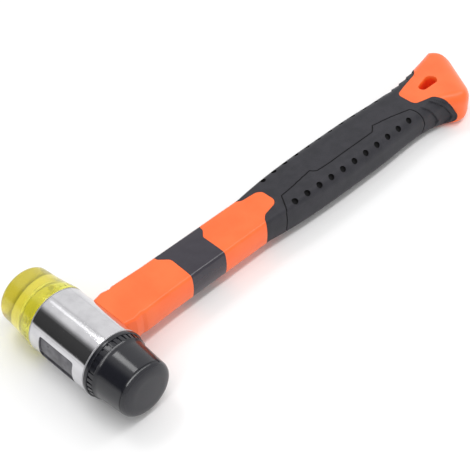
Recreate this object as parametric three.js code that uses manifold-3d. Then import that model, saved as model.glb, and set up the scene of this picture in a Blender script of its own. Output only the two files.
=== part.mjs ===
// Tiling mallet: a plated tube head with two screw-in faces, on a two-colour moulded handle.
// Millimetres, +Z up. The mallet lies on its cheek, as it does when it is put down:
// the handle runs along +X from the head, and the head's own axis is Y.

import * as THREE from 'three';
import { mergeVertices } from 'three/addons/utils/BufferGeometryUtils.js';
import Module from 'manifold-3d';

const wasm = await Module();
wasm.setup();

// Head tube
const TUBE_DIAMETER = 35;
const TUBE_WALL = 3;
const TUBE_LENGTH = 38;
const TUBE_EDGE = 0.4;
const WINDOW_LENGTH = 24;
const WINDOW_HEIGHT = 14;
const WINDOW_CORNER = 1.5;

// Casting resin round the tang, in the tube and its two windows
const POTTING_RECESS = 0.8;
const POTTING_WALL = 1.5;
const POTTING_END_GAP = 0.8;

// Screw thread between the tube and the faces
const THREAD_PITCH = 2.5;
const THREAD_HEIGHT = 0.9;
const THREAD_ROOT_WIDTH = 1.6;
const THREAD_CREST_WIDTH = 0.8;
const THREAD_RUNOUT = 1;
const SPIGOT_LENGTH = 6.2;

// Striking faces, measured out from the seat on the washer
const RIM_OVERHANG = 0.1;
const RIM_LENGTH = 1.5;
const RIM_EDGE = 0.4;
const TOOTH_COUNT = 36;
const TOOTH_DEPTH = 0.7;
const SHANK_INSET = 1.9;
const TIP_STEP = 0.35;
const FACE_CROWN = 3.6;
const CROWN_WIDTH = 6;
const WASHER_THICKNESS = 0.6;

// Sizes of the black face alone
const RUBBER_TOOTH_LENGTH = 3.1;
const RUBBER_TOOTH_INSET = 0.6;
const RUBBER_FLARE = 2.6;
const RUBBER_TAPER = 0.9;
const RUBBER_LENGTH = 25;

// Sizes of the yellow face alone, which is hollow
const CLEAR_TOOTH_LENGTH = 4.6;
const CLEAR_TOOTH_INSET = 0.1;
const CLEAR_FLARE = 4.2;
const CLEAR_TAPER = 0.5;
const CLEAR_LENGTH = 26.2;
const CLEAR_WALL = 2.6;
const CLEAR_BORE_DEPTH = 13;

// Glass-fibre core of the handle
const CORE_WIDTH = 14;
const CORE_THICKNESS = 8;
const CORE_CORNER = 2.5;
const CORE_NOSE = 12;
const CORE_SETBACK = 36;

// Handle sections
const COLLAR_BASE_WIDTH = 24;
const COLLAR_WIDTH = 27;
const GROOVE_WIDTH = 25.2;
const NECK_FRONT_WIDTH = 26.4;
const NECK_WIDTH = 25.1;
const NECK_THICKNESS = 15.6;
const NECK_CORNER = 2.6;
const GRIP_WIDTH = 31.3;
const GRIP_THICKNESS = 20.6;
const GRIP_CORNER = 7;
const WAIST_WIDTH = 29.1;
const WAIST_THICKNESS = 20;
const BUTT_WIDTH = 46.6;
const BUTT_THICKNESS = 21;
const BUTT_CORNER = 5.9;

// Places along the handle, from the head's axis
const COLLAR_PEAK = 21.7;
const GROOVE_PLACE = 26.3;
const NECK_FRONT = 28.2;
const NECK_START = 46;
const SWELL_START = 114;
const SWELL_END = 175;
const THINNING_START = 192;
const BUTT_PLANE = 267;

// Butt: the end is slanted and domed
const WAIST_SETBACK = 36;
const FLARE_POWER = 2.3;
const BUTT_SLANT = THREE.MathUtils.degToRad(30);
const BUTT_DEPTH = 11.8;
const DOME_POWER = 2.7;
const DOME_WIDTH_POWER = 0.36;
const DOME_THICKNESS_POWER = 0.48;
const DOME_REACH = 0.95;

// Hang hole, a slot that widens to the rear
const HOLE_SKEW = 0.9;
const HOLE_FRONT_RADIUS = 2.1;
const HOLE_REAR_RADIUS = 3.1;
const HOLE_FRONT_SETBACK = 17.8;
const HOLE_REAR_SETBACK = 9.6;

// Neck band, longer on the far side
const BAND_CENTRE = 70.5;
const BAND_LENGTH = 22.2;
const BAND_TAB = 4.1;
const BAND_TAB_INNER = 4.2;
const BAND_TAB_OUTER = 8.2;
const BAND_WALL = 1.5;

// Grip, with a tongue of the handle let into each end
const GRIP_START = 111.3;
const GRIP_WALL = 2.2;
const FRONT_TONGUE_LINE = 1;
const FRONT_TONGUE_LENGTH = 13.9;
const FRONT_TONGUE_TIP = 9;
const FRONT_TONGUE_WIDTH = 16.4;
const TONGUE_CORNER = 2.2;
const REAR_TONGUE_SETBACK = 32.6;
const REAR_TONGUE_WIDTH = 13;
const REAR_MOUTH_SETBACK = 20.6;
const REAR_MOUTH_WIDTH = 18.4;
const GRIP_END_SETBACK = 6.2;
const GRIP_END_SKEW = 4.8;
const GRIP_END_WIDTH = 42;

// Clearances
const FIT_GAP = 0.3;
const THREAD_GAP = 0.4;
const SEAT_GAP = 0.25;

// Facets
const ROUND_FACETS = 40;
const THREAD_FACETS = 20;
const CORNER_FACETS = 3;
const HANDLE_STEP = 8;
const BUTT_RINGS = 6;
const CROWN_FACETS = 5;
const MERGE_DISTANCE = 1e-5;

// Sizes worked out from the ones above
const tubeRadius = TUBE_DIAMETER / 2;
const boreRadius = tubeRadius - TUBE_WALL;
const tubeEnd = TUBE_LENGTH / 2;
const rimRadius = tubeRadius + RIM_OVERHANG;
const shankRadius = rimRadius - SHANK_INSET;
const spigotRadius = boreRadius - THREAD_GAP;
const threadCrest = boreRadius + THREAD_HEIGHT;
const threadRoot = threadCrest + THREAD_GAP;
const washerSeat = tubeEnd + SEAT_GAP;
const faceSeat = washerSeat + WASHER_THICKNESS + SEAT_GAP;
const spigotEnd = tubeEnd - SPIGOT_LENGTH;
const plugEnd = spigotEnd - POTTING_END_GAP;
const waist = BUTT_PLANE - WAIST_SETBACK;
const coreEnd = BUTT_PLANE - CORE_SETBACK;

// Solids

function toSolid(geometry) {
  const bare = geometry.clone();
  bare.deleteAttribute('normal');
  bare.deleteAttribute('uv');
  const merged = mergeVertices(bare, MERGE_DISTANCE);
  return new wasm.Manifold(new wasm.Mesh({
    numProp: 3,
    vertProperties: new Float32Array(merged.attributes.position.array),
    triVerts: new Uint32Array(merged.index.array),
  }));
}

function toMesh(name, solid, material) {
  const { vertProperties, triVerts } = solid.getMesh();
  const geometry = new THREE.BufferGeometry();
  geometry.setAttribute('position', new THREE.BufferAttribute(vertProperties, 3));
  geometry.setIndex(new THREE.BufferAttribute(triVerts, 1));
  geometry.computeVertexNormals();
  const mesh = new THREE.Mesh(geometry, material);
  mesh.name = name;
  return mesh;
}

function turned(profile) {
  const points = profile.map(([radius, along]) => new THREE.Vector2(radius, along));
  return toSolid(new THREE.LatheGeometry(points, ROUND_FACETS));
}

function cylinder(radius, from, to) {
  return turned([[0, from], [radius, from], [radius, to], [0, to]]);
}

function roundedRectangle(width, height, corner) {
  const across = width / 2 - corner;
  const up = height / 2 - corner;
  const shape = new THREE.Shape();
  shape.absarc(across, up, corner, 0, Math.PI / 2);
  shape.absarc(-across, up, corner, Math.PI / 2, Math.PI);
  shape.absarc(-across, -up, corner, Math.PI, 1.5 * Math.PI);
  shape.absarc(across, -up, corner, 1.5 * Math.PI, 2 * Math.PI);
  return shape;
}

function bar(width, thickness, corner, from, to) {
  const section = roundedRectangle(width, thickness, corner);
  const options = { depth: to - from, bevelEnabled: false, curveSegments: CORNER_FACETS };
  const geometry = new THREE.ExtrudeGeometry(section, options);
  geometry.rotateX(Math.PI / 2);
  geometry.rotateZ(Math.PI / 2);
  return toSolid(geometry.translate(from, 0, 0));
}

function upright(shape, halfHeight) {
  const options = { depth: 2 * halfHeight, bevelEnabled: false, curveSegments: 2 * CORNER_FACETS };
  return toSolid(new THREE.ExtrudeGeometry(shape, options).translate(0, 0, -halfHeight));
}

// A loft through rings of points, each ring convex and turning the same way
function loft(rings) {
  const count = rings[0].length;
  const points = rings.flat();
  const triangles = [];
  rings.slice(1).forEach((_, row) => {
    for (let i = 0; i < count; i++) {
      const here = row * count + i;
      const next = row * count + (i + 1) % count;
      triangles.push(here, next, here + count, next, next + count, here + count);
    }
  });
  const last = (rings.length - 1) * count;
  for (let i = 1; i < count - 1; i++) {
    triangles.push(0, i + 1, i, last, last + i, last + i + 1);
  }
  const geometry = new THREE.BufferGeometry().setFromPoints(points);
  geometry.setIndex(triangles);
  return toSolid(geometry);
}

// A right-hand thread round +Y: a trapezium swept along a helix
function helix({ inner, outer, innerWidth, outerWidth, from, to }) {
  const steps = Math.ceil((to - from) / THREAD_PITCH * THREAD_FACETS);
  const rings = [];
  for (let i = 0; i <= steps; i++) {
    const along = THREE.MathUtils.lerp(from, to, i / steps);
    const angle = 2 * Math.PI * along / THREAD_PITCH;
    const corner = (radius, shift) => new THREE.Vector3(
      radius * Math.sin(angle), along + shift, radius * Math.cos(angle));
    rings.push([
      corner(inner, -innerWidth / 2),
      corner(inner, innerWidth / 2),
      corner(outer, outerWidth / 2),
      corner(outer, -outerWidth / 2),
    ]);
  }
  return loft(rings);
}

const halfTurn = (solid) => solid.rotate([0, 0, 180]);

// Head

function threadGroove() {
  return helix({
    inner: spigotRadius,
    outer: threadRoot,
    innerWidth: THREAD_ROOT_WIDTH + 2 * FIT_GAP,
    outerWidth: THREAD_CREST_WIDTH + 2 * FIT_GAP,
    from: spigotEnd + THREAD_RUNOUT - FIT_GAP,
    to: tubeEnd + THREAD_PITCH,
  });
}

function frontWindow(gap) {
  const length = WINDOW_LENGTH - 2 * gap;
  const height = WINDOW_HEIGHT - 2 * gap;
  return bar(length, height, WINDOW_CORNER, -TUBE_DIAMETER, -boreRadius / 2);
}

function rearWindow(gap) {
  const border = 2 * (POTTING_WALL + 2 * FIT_GAP - gap);
  const width = CORE_WIDTH + border;
  const height = CORE_THICKNESS + border;
  return bar(width, height, CORE_CORNER, boreRadius / 2, TUBE_DIAMETER);
}

function headTube() {
  const wall = turned([
    [boreRadius, -tubeEnd],
    [tubeRadius - TUBE_EDGE, -tubeEnd],
    [tubeRadius, TUBE_EDGE - tubeEnd],
    [tubeRadius, tubeEnd - TUBE_EDGE],
    [tubeRadius - TUBE_EDGE, tubeEnd],
    [boreRadius, tubeEnd],
    [boreRadius, -tubeEnd],
  ]);
  const groove = threadGroove();
  return wall
    .subtract(frontWindow(0))
    .subtract(rearWindow(0))
    .subtract(groove)
    .subtract(halfTurn(groove));
}

function eyePotting() {
  const spigotRoom = cylinder(threadRoot + FIT_GAP, plugEnd, tubeEnd);
  return frontWindow(FIT_GAP)
    .add(rearWindow(FIT_GAP))
    .intersect(cylinder(tubeRadius - POTTING_RECESS, -tubeEnd, tubeEnd))
    .add(cylinder(boreRadius - FIT_GAP, -plugEnd, plugEnd))
    .subtract(spigotRoom)
    .subtract(halfTurn(spigotRoom))
    .subtract(core(FIT_GAP));
}

const rubberSizes = {
  toothLength: RUBBER_TOOTH_LENGTH,
  toothRadius: rimRadius - RUBBER_TOOTH_INSET,
  flareLength: RUBBER_FLARE,
  tipRadius: shankRadius - RUBBER_TAPER,
  length: RUBBER_LENGTH,
};
const clearSizes = {
  toothLength: CLEAR_TOOTH_LENGTH,
  toothRadius: rimRadius - CLEAR_TOOTH_INSET,
  flareLength: CLEAR_FLARE,
  tipRadius: shankRadius - CLEAR_TAPER,
  length: CLEAR_LENGTH,
};

// Profile of a face from its spigot to the flat of the striking end
function faceOutline({ toothLength, toothRadius, flareLength, tipRadius, length }) {
  const rimEnd = faceSeat + RIM_LENGTH;
  const teethEnd = rimEnd + toothLength;
  const crownStart = faceSeat + length - FACE_CROWN;
  const crownRadius = tipRadius - TIP_STEP;
  const crown = [];
  for (let i = 0; i <= CROWN_FACETS; i++) {
    const turn = i / CROWN_FACETS * Math.PI / 2;
    crown.push([
      crownRadius - CROWN_WIDTH * (1 - Math.cos(turn)),
      crownStart + FACE_CROWN * Math.sin(turn),
    ]);
  }
  return [
    [spigotRadius - RIM_EDGE, spigotEnd],
    [spigotRadius, spigotEnd + RIM_EDGE],
    [spigotRadius, faceSeat],
    [rimRadius - RIM_EDGE, faceSeat],
    [rimRadius, faceSeat + RIM_EDGE],
    [rimRadius, rimEnd],
    [toothRadius, rimEnd],
    [toothRadius, teethEnd],
    [shankRadius, teethEnd + flareLength],
    [tipRadius, crownStart - TIP_STEP],
    ...crown,
    [0, crownStart + FACE_CROWN],
  ];
}

// Notches between the teeth next to the rim
function toothGaps({ toothLength, toothRadius }) {
  const width = Math.PI * toothRadius / TOOTH_COUNT;
  const middle = faceSeat + RIM_LENGTH + toothLength / 2;
  const box = new THREE.BoxGeometry(width, toothLength, 2 * TOOTH_DEPTH);
  const notch = toSolid(box.translate(0, middle, toothRadius));
  const notches = [];
  for (let i = 0; i < TOOTH_COUNT; i++) {
    notches.push(notch.rotate([0, 360 * i / TOOTH_COUNT, 0]));
  }
  return notches.reduce((all, one) => all.add(one));
}

function face(sizes, hollow) {
  const thread = helix({
    inner: spigotRadius - THREAD_GAP,
    outer: threadCrest,
    innerWidth: THREAD_ROOT_WIDTH,
    outerWidth: THREAD_CREST_WIDTH,
    from: spigotEnd + THREAD_RUNOUT,
    to: tubeEnd - THREAD_RUNOUT,
  });
  return turned([...hollow, ...faceOutline(sizes)]).add(thread).subtract(toothGaps(sizes));
}

function rubberFace() {
  return halfTurn(face(rubberSizes, [[0, spigotEnd]]));
}

function clearFace() {
  const bore = spigotRadius - CLEAR_WALL;
  const floor = faceSeat + CLEAR_BORE_DEPTH;
  return face(clearSizes, [[0, floor], [bore, floor], [bore, spigotEnd]]);
}

function washer() {
  const hole = threadCrest + THREAD_GAP;
  const top = washerSeat + WASHER_THICKNESS;
  return turned([
    [hole, washerSeat],
    [tubeRadius, washerSeat],
    [tubeRadius, top],
    [hole, top],
    [hole, washerSeat],
  ]);
}

// Handle

function core(gap) {
  const width = CORE_WIDTH + 2 * gap;
  const thickness = CORE_THICKNESS + 2 * gap;
  return bar(width, thickness, CORE_CORNER + gap, -CORE_NOSE - gap, coreEnd + gap);
}

const along = (x, from, to) => THREE.MathUtils.clamp((x - from) / (to - from), 0, 1);
const swell = (x) => Math.sin(along(x, SWELL_START, SWELL_END) * Math.PI / 2);
const thinning = (x) => THREE.MathUtils.smoothstep(x, THINNING_START, waist);
const flare = (x) => Math.max(0, (x - waist) / WAIST_SETBACK);

// The collar, the groove behind it and the taper of the neck
function collarWidth(x) {
  return COLLAR_BASE_WIDTH
    + (COLLAR_WIDTH - COLLAR_BASE_WIDTH) * along(x, boreRadius, COLLAR_PEAK)
    + (GROOVE_WIDTH - COLLAR_WIDTH) * along(x, COLLAR_PEAK, GROOVE_PLACE)
    + (NECK_FRONT_WIDTH - GROOVE_WIDTH) * along(x, GROOVE_PLACE, NECK_FRONT)
    + (NECK_WIDTH - NECK_FRONT_WIDTH) * along(x, NECK_FRONT, NECK_START);
}

function widthAt(x) {
  return collarWidth(x)
    + (GRIP_WIDTH - NECK_WIDTH) * swell(x)
    + (WAIST_WIDTH - GRIP_WIDTH) * thinning(x)
    + (BUTT_WIDTH - WAIST_WIDTH) * flare(x) ** FLARE_POWER;
}

function thicknessAt(x) {
  return NECK_THICKNESS
    + (GRIP_THICKNESS - NECK_THICKNESS) * swell(x)
    + (WAIST_THICKNESS - GRIP_THICKNESS) * thinning(x)
    + (BUTT_THICKNESS - WAIST_THICKNESS) * flare(x);
}

function cornerAt(x) {
  return NECK_CORNER
    + (GRIP_CORNER - NECK_CORNER) * swell(x)
    + (BUTT_CORNER - GRIP_CORNER) * flare(x);
}

// Sections along the handle, then through the domed butt
function handleSections() {
  const sections = [];
  const add = (x) => sections.push({
    x,
    y: 0,
    width: widthAt(x),
    thickness: thicknessAt(x),
    corner: cornerAt(x),
    slant: BUTT_SLANT * flare(x),
  });
  [boreRadius / 2, boreRadius, COLLAR_PEAK, GROOVE_PLACE, NECK_FRONT, NECK_START].forEach(add);
  const steps = Math.ceil((BUTT_PLANE - SWELL_START) / HANDLE_STEP);
  for (let i = 0; i <= steps; i++) {
    add(THREE.MathUtils.lerp(SWELL_START, BUTT_PLANE, i / steps));
  }
  for (let i = 1; i <= BUTT_RINGS; i++) {
    const depth = Math.sin(DOME_REACH * i / BUTT_RINGS * Math.PI / 2);
    const fullness = 1 - depth ** DOME_POWER;
    sections.push({
      x: BUTT_PLANE + BUTT_DEPTH * depth * Math.cos(BUTT_SLANT),
      y: -BUTT_DEPTH * depth * Math.sin(BUTT_SLANT),
      width: BUTT_WIDTH * fullness ** DOME_WIDTH_POWER,
      thickness: BUTT_THICKNESS * fullness ** DOME_THICKNESS_POWER,
      corner: BUTT_CORNER * fullness ** DOME_WIDTH_POWER,
      slant: BUTT_SLANT,
    });
  }
  return sections;
}

function handleRings(sunk) {
  return handleSections().map(({ x, y, width, thickness, corner, slant }) => {
    const round = Math.max(corner - sunk, NECK_CORNER / 4);
    const section = roundedRectangle(width - 2 * sunk, thickness - 2 * sunk, round);
    return section.getPoints(CORNER_FACETS).slice(0, -1).map((point) => new THREE.Vector3(
      x + point.x * Math.sin(slant), y + point.x * Math.cos(slant), point.y));
  });
}

// The handle's outer form, or the same form sunk in by a wall
const handleForm = (sunk) => loft(handleRings(sunk));

function outline(points) {
  return new THREE.Shape(points.map(([x, y]) => new THREE.Vector2(x, y)));
}

function bandRegion(gap) {
  const half = BAND_LENGTH / 2 + gap;
  const tab = half + BAND_TAB;
  const beside = BUTT_WIDTH;
  const edge = (side) => [
    [BAND_CENTRE + side * half, -beside],
    [BAND_CENTRE + side * half, BAND_TAB_INNER - gap],
    [BAND_CENTRE + side * tab, BAND_TAB_OUTER - gap],
    [BAND_CENTRE + side * tab, beside],
  ];
  return upright(outline([...edge(1), ...edge(-1).reverse()]), BUTT_WIDTH);
}

// The grip lies between two tongues of the handle. A gap makes its recess wider and the tongues narrower.
function gripRegion(gap) {
  const beside = BUTT_WIDTH;
  const start = GRIP_START - gap;
  const frontTip = start + FRONT_TONGUE_LENGTH;
  const frontHalf = FRONT_TONGUE_WIDTH / 2 - gap;
  const frontTipHalf = FRONT_TONGUE_TIP / 2 - gap;
  const front = (side) => [
    [start, FRONT_TONGUE_LINE + side * beside],
    [start + TONGUE_CORNER, FRONT_TONGUE_LINE + side * frontHalf],
    [frontTip - TONGUE_CORNER, FRONT_TONGUE_LINE + side * (frontTipHalf + TONGUE_CORNER)],
    [frontTip, FRONT_TONGUE_LINE + side * frontTipHalf],
  ];
  const rearTip = BUTT_PLANE - REAR_TONGUE_SETBACK + gap;
  const rearMouth = BUTT_PLANE - REAR_MOUTH_SETBACK + gap;
  const end = BUTT_PLANE - GRIP_END_SETBACK + gap;
  const rearHalf = REAR_TONGUE_WIDTH / 2 - gap;
  const rear = (side) => [
    [rearTip, side * (rearHalf - TONGUE_CORNER)],
    [rearTip + TONGUE_CORNER, side * rearHalf],
    [rearMouth, side * (REAR_MOUTH_WIDTH / 2 - gap)],
    [end + side * GRIP_END_SKEW, side * (GRIP_END_WIDTH / 2 - gap)],
    [end + side * GRIP_END_SKEW, side * beside],
  ];
  const points = [...front(1), ...front(-1).reverse(), ...rear(-1).reverse(), ...rear(1)];
  return upright(outline(points), BUTT_WIDTH);
}

function hangHole() {
  const end = (setback, side, radius) => {
    const circle = new THREE.Shape().absarc(BUTT_PLANE - setback, side, radius, 0, 2 * Math.PI);
    return upright(circle, BUTT_WIDTH);
  };
  return wasm.Manifold.hull([
    end(HOLE_FRONT_SETBACK, 0, HOLE_FRONT_RADIUS),
    end(HOLE_REAR_SETBACK, HOLE_SKEW, HOLE_REAR_RADIUS),
  ]);
}

function handleBody() {
  const bandRecess = bandRegion(FIT_GAP).subtract(handleForm(BAND_WALL + FIT_GAP));
  const gripRecess = gripRegion(FIT_GAP).subtract(handleForm(GRIP_WALL + FIT_GAP));
  const tubeRoom = cylinder(tubeRadius + FIT_GAP, -tubeEnd, tubeEnd);
  return handleForm(0)
    .subtract(bandRecess)
    .subtract(gripRecess)
    .subtract(core(FIT_GAP))
    .subtract(hangHole())
    .subtract(tubeRoom);
}

function neckBand() {
  return handleForm(0).intersect(bandRegion(0)).subtract(handleForm(BAND_WALL));
}

function grip() {
  return handleForm(0).intersect(gripRegion(0)).subtract(handleForm(GRIP_WALL));
}

// Finishes

const finish = (color, roughness, metalness) => new THREE.MeshStandardMaterial(
  { color, roughness, metalness, flatShading: true });
const plated = finish(0xc6c4c8, 0.12, 1);
const resin = finish(0x6e6d73, 0.8, 0);
const orangePlastic = finish(0xfe804d, 0.45, 0);
const softGrip = finish(0x484750, 0.7, 0);
const glassFibre = finish(0xd8cfa6, 0.5, 0);
const blackRubber = finish(0x232429, 0.3, 0);
const yellowPlastic = finish(0xc8c352, 0.2, 0);

// The angle at which the rims and the butt both touch the surface that the mallet lies on
function restTilt() {
  const tilts = handleRings(0).flat()
    .filter(({ x, z }) => x > waist && z < 0)
    .map(({ x, z }) => Math.atan2(x, -z) - Math.acos(rimRadius / Math.hypot(x, z)));
  return Math.min(...tilts);
}

const ring = washer();
const tool = new THREE.Group();
tool.add(
  toMesh('head_tube', headTube(), plated),
  toMesh('eye_potting', eyePotting(), resin),
  toMesh('handle_core', core(0), glassFibre),
  toMesh('handle_body', handleBody(), orangePlastic),
  toMesh('neck_band', neckBand(), softGrip),
  toMesh('grip', grip(), softGrip),
  toMesh('rubber_face_washer', halfTurn(ring), plated),
  toMesh('rubber_face', rubberFace(), blackRubber),
  toMesh('clear_face_washer', ring, plated),
  toMesh('clear_face', clearFace(), yellowPlastic),
);
tool.rotation.y = restTilt();

// Origin under the middle of the mallet, on the surface that it lies on
const mallet = new THREE.Group();
mallet.add(tool);
const box = new THREE.Box3().setFromObject(mallet, true);
const middle = box.getCenter(new THREE.Vector3());
mallet.position.set(-middle.x, -middle.y, -box.min.z);

export default mallet;
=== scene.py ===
"""Looks of a tiling mallet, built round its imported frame.

Shapes are worked out in millimetres on the mallet's own axes: X along the handle from the middle of
the head, Y along the head towards the yellow face, Z up. Place carries them into the frame.
"""

import logging
import math
from collections import Counter
from dataclasses import dataclass, field
from enum import Enum
from typing import Any, Sequence

import bmesh
import bpy
import numpy as np
from mathutils import Matrix, Vector
from mathutils.bvhtree import BVHTree

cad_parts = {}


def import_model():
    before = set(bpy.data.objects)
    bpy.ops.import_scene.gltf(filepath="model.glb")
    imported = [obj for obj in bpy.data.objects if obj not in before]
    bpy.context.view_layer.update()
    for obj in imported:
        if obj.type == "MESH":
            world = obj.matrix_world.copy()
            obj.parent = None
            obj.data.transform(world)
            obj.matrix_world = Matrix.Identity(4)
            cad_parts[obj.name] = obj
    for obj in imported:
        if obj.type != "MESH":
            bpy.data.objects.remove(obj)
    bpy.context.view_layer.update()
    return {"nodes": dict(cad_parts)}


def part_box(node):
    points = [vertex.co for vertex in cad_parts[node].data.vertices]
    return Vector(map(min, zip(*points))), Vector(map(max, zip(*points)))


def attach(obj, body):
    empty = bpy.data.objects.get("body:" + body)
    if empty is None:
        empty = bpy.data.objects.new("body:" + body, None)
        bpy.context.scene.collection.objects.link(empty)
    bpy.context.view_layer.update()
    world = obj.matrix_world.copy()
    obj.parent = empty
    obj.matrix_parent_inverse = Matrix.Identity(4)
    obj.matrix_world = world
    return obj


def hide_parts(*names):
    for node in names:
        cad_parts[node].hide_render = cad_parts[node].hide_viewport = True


LOG = logging.getLogger("mallet")
MILLIMETRE = 0.001

# Points nearer than the first are one, and edges shorter than the second are slivers, in millimetres
MERGED = 1e-5
SLIVER = 0.003

# The most of a side that the curve of one of its corners takes
CORNER_SHARE = 0.45

# Facets round the tube and round what fits it
TUBE_FACETS = 192

# Depth under the handle's skin, from which the orange and grip finishes paint shade into recesses
DEPTH_ATTRIBUTE = "depth"
OUTWARD_ATTRIBUTE = "outward"

Line = tuple[tuple[float, float], ...]
Profile = list[tuple[float, float]]
Colour = tuple[float, float, float]


class Body(Enum):
    """Bodies of the frame that the pieces ride on."""

    MALLET = "mallet"
    RUBBER_SEAT = "rubber_face_seat"
    RUBBER_FACE = "rubber_face_body"
    CLEAR_SEAT = "clear_face_seat"
    CLEAR_FACE = "clear_face_body"


class Slot(Enum):
    """Material slots of the record, which are passed along with the finished pieces."""

    PLATED = "plated_steel"
    RESIN = "casting_resin"
    ORANGE = "orange_plastic"
    GRIP = "soft_grip"
    RUBBER = "black_rubber"
    YELLOW = "yellow_plastic"


class Cut(Enum):
    """What one solid does to another."""

    TAKE_AWAY = "DIFFERENCE"
    KEEP_COMMON = "INTERSECT"
    JOIN = "UNION"


# Node trees


class Tree:
    """A node tree that is filled by calls."""

    def __init__(self, tree: bpy.types.NodeTree) -> None:
        """Wrap a node tree and empty it."""
        self.tree = tree
        self.tree.nodes.clear()

    def add(
        self,
        kind: str,
        settings: dict[str, Any] | None = None,
        sockets: dict[str | int, Any] | None = None,
    ) -> bpy.types.Node:
        """Add one node.

        Args:
            kind: The node's type.
            settings: Properties that are set first; "stops" fills a colour ramp.
            sockets: Values or links of its inputs, by name or number.

        Returns:
            The new node.
        """
        node = self.tree.nodes.new(kind)
        for name, value in (settings or {}).items():
            if name == "stops":
                self._fill_ramp(node.color_ramp, value)
            else:
                setattr(node, name, value)
        for key, value in (sockets or {}).items():
            self.feed(node.inputs[key], value)
        return node

    def feed(self, target: bpy.types.NodeSocket, value: Any) -> None:
        """Set an input's value, or link a term or socket to it.

        Args:
            target: The input.
            value: A plain value, a term or another node's output.
        """
        if isinstance(value, Term):
            value = value.socket
        if isinstance(value, bpy.types.NodeSocket):
            self.tree.links.new(value, target)
        else:
            target.default_value = value

    @staticmethod
    def _fill_ramp(ramp: bpy.types.ColorRamp, stops: Sequence[tuple[float, Colour]]) -> None:
        """Give a colour ramp its stops.

        Args:
            ramp: The ramp.
            stops: Each stop's position and colour.
        """
        while len(ramp.elements) < len(stops):
            ramp.elements.new(1.0)
        for element, (position, colour) in zip(ramp.elements, stops):
            element.position = position
            element.color = (*colour, 1.0)


class Term:
    """A number on a surface, which the usual operators turn into Math nodes."""

    def __init__(self, tree: Tree, socket: bpy.types.NodeSocket) -> None:
        """Wrap the socket that gives the number."""
        self.tree = tree
        self.socket = socket

    def _math(self, operation: str, *values: Any, clamp: bool = False) -> "Term":
        """Add a Math node.

        Args:
            operation: What the node does.
            values: Its inputs in order.
            clamp: Whether its result is held between 0 and 1.

        Returns:
            Its result.
        """
        settings = {"operation": operation, "use_clamp": clamp}
        node = self.tree.add("ShaderNodeMath", settings, dict(enumerate(values)))
        return Term(self.tree, node.outputs[0])

    def __add__(self, other: Any) -> "Term":
        """Sum of two terms."""
        return self._math("ADD", self, other)

    __radd__ = __add__

    def __sub__(self, other: Any) -> "Term":
        """Difference of two terms."""
        return self._math("SUBTRACT", self, other)

    def __rsub__(self, other: Any) -> "Term":
        """Difference with this term taken away."""
        return self._math("SUBTRACT", other, self)

    def __mul__(self, other: Any) -> "Term":
        """Product of two terms."""
        return self._math("MULTIPLY", self, other)

    __rmul__ = __mul__

    def __truediv__(self, other: Any) -> "Term":
        """Quotient of two terms."""
        return self._math("DIVIDE", self, other)

    def __neg__(self) -> "Term":
        """The term with its sign turned."""
        return self._math("MULTIPLY", self, -1.0)

    def arctan2(self, other: Any) -> "Term":
        """Angle of the point (other, this term)."""
        return self._math("ARCTAN2", self, other)

    def clamped(self) -> "Term":
        """The term held between 0 and 1."""
        return self._math("ADD", self, 0.0, clamp=True)

    def ramp(self, low: float, high: float) -> "Term":
        """A smooth rise from 0 to 1.

        Args:
            low: Where the rise starts.
            high: Where it ends.

        Returns:
            The rise as a term.
        """
        node = self.tree.add(
            "ShaderNodeMapRange",
            {"interpolation_type": "SMOOTHSTEP"},
            {"Value": self, "From Min": low, "From Max": high},
        )
        return Term(self.tree, node.outputs["Result"])


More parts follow.
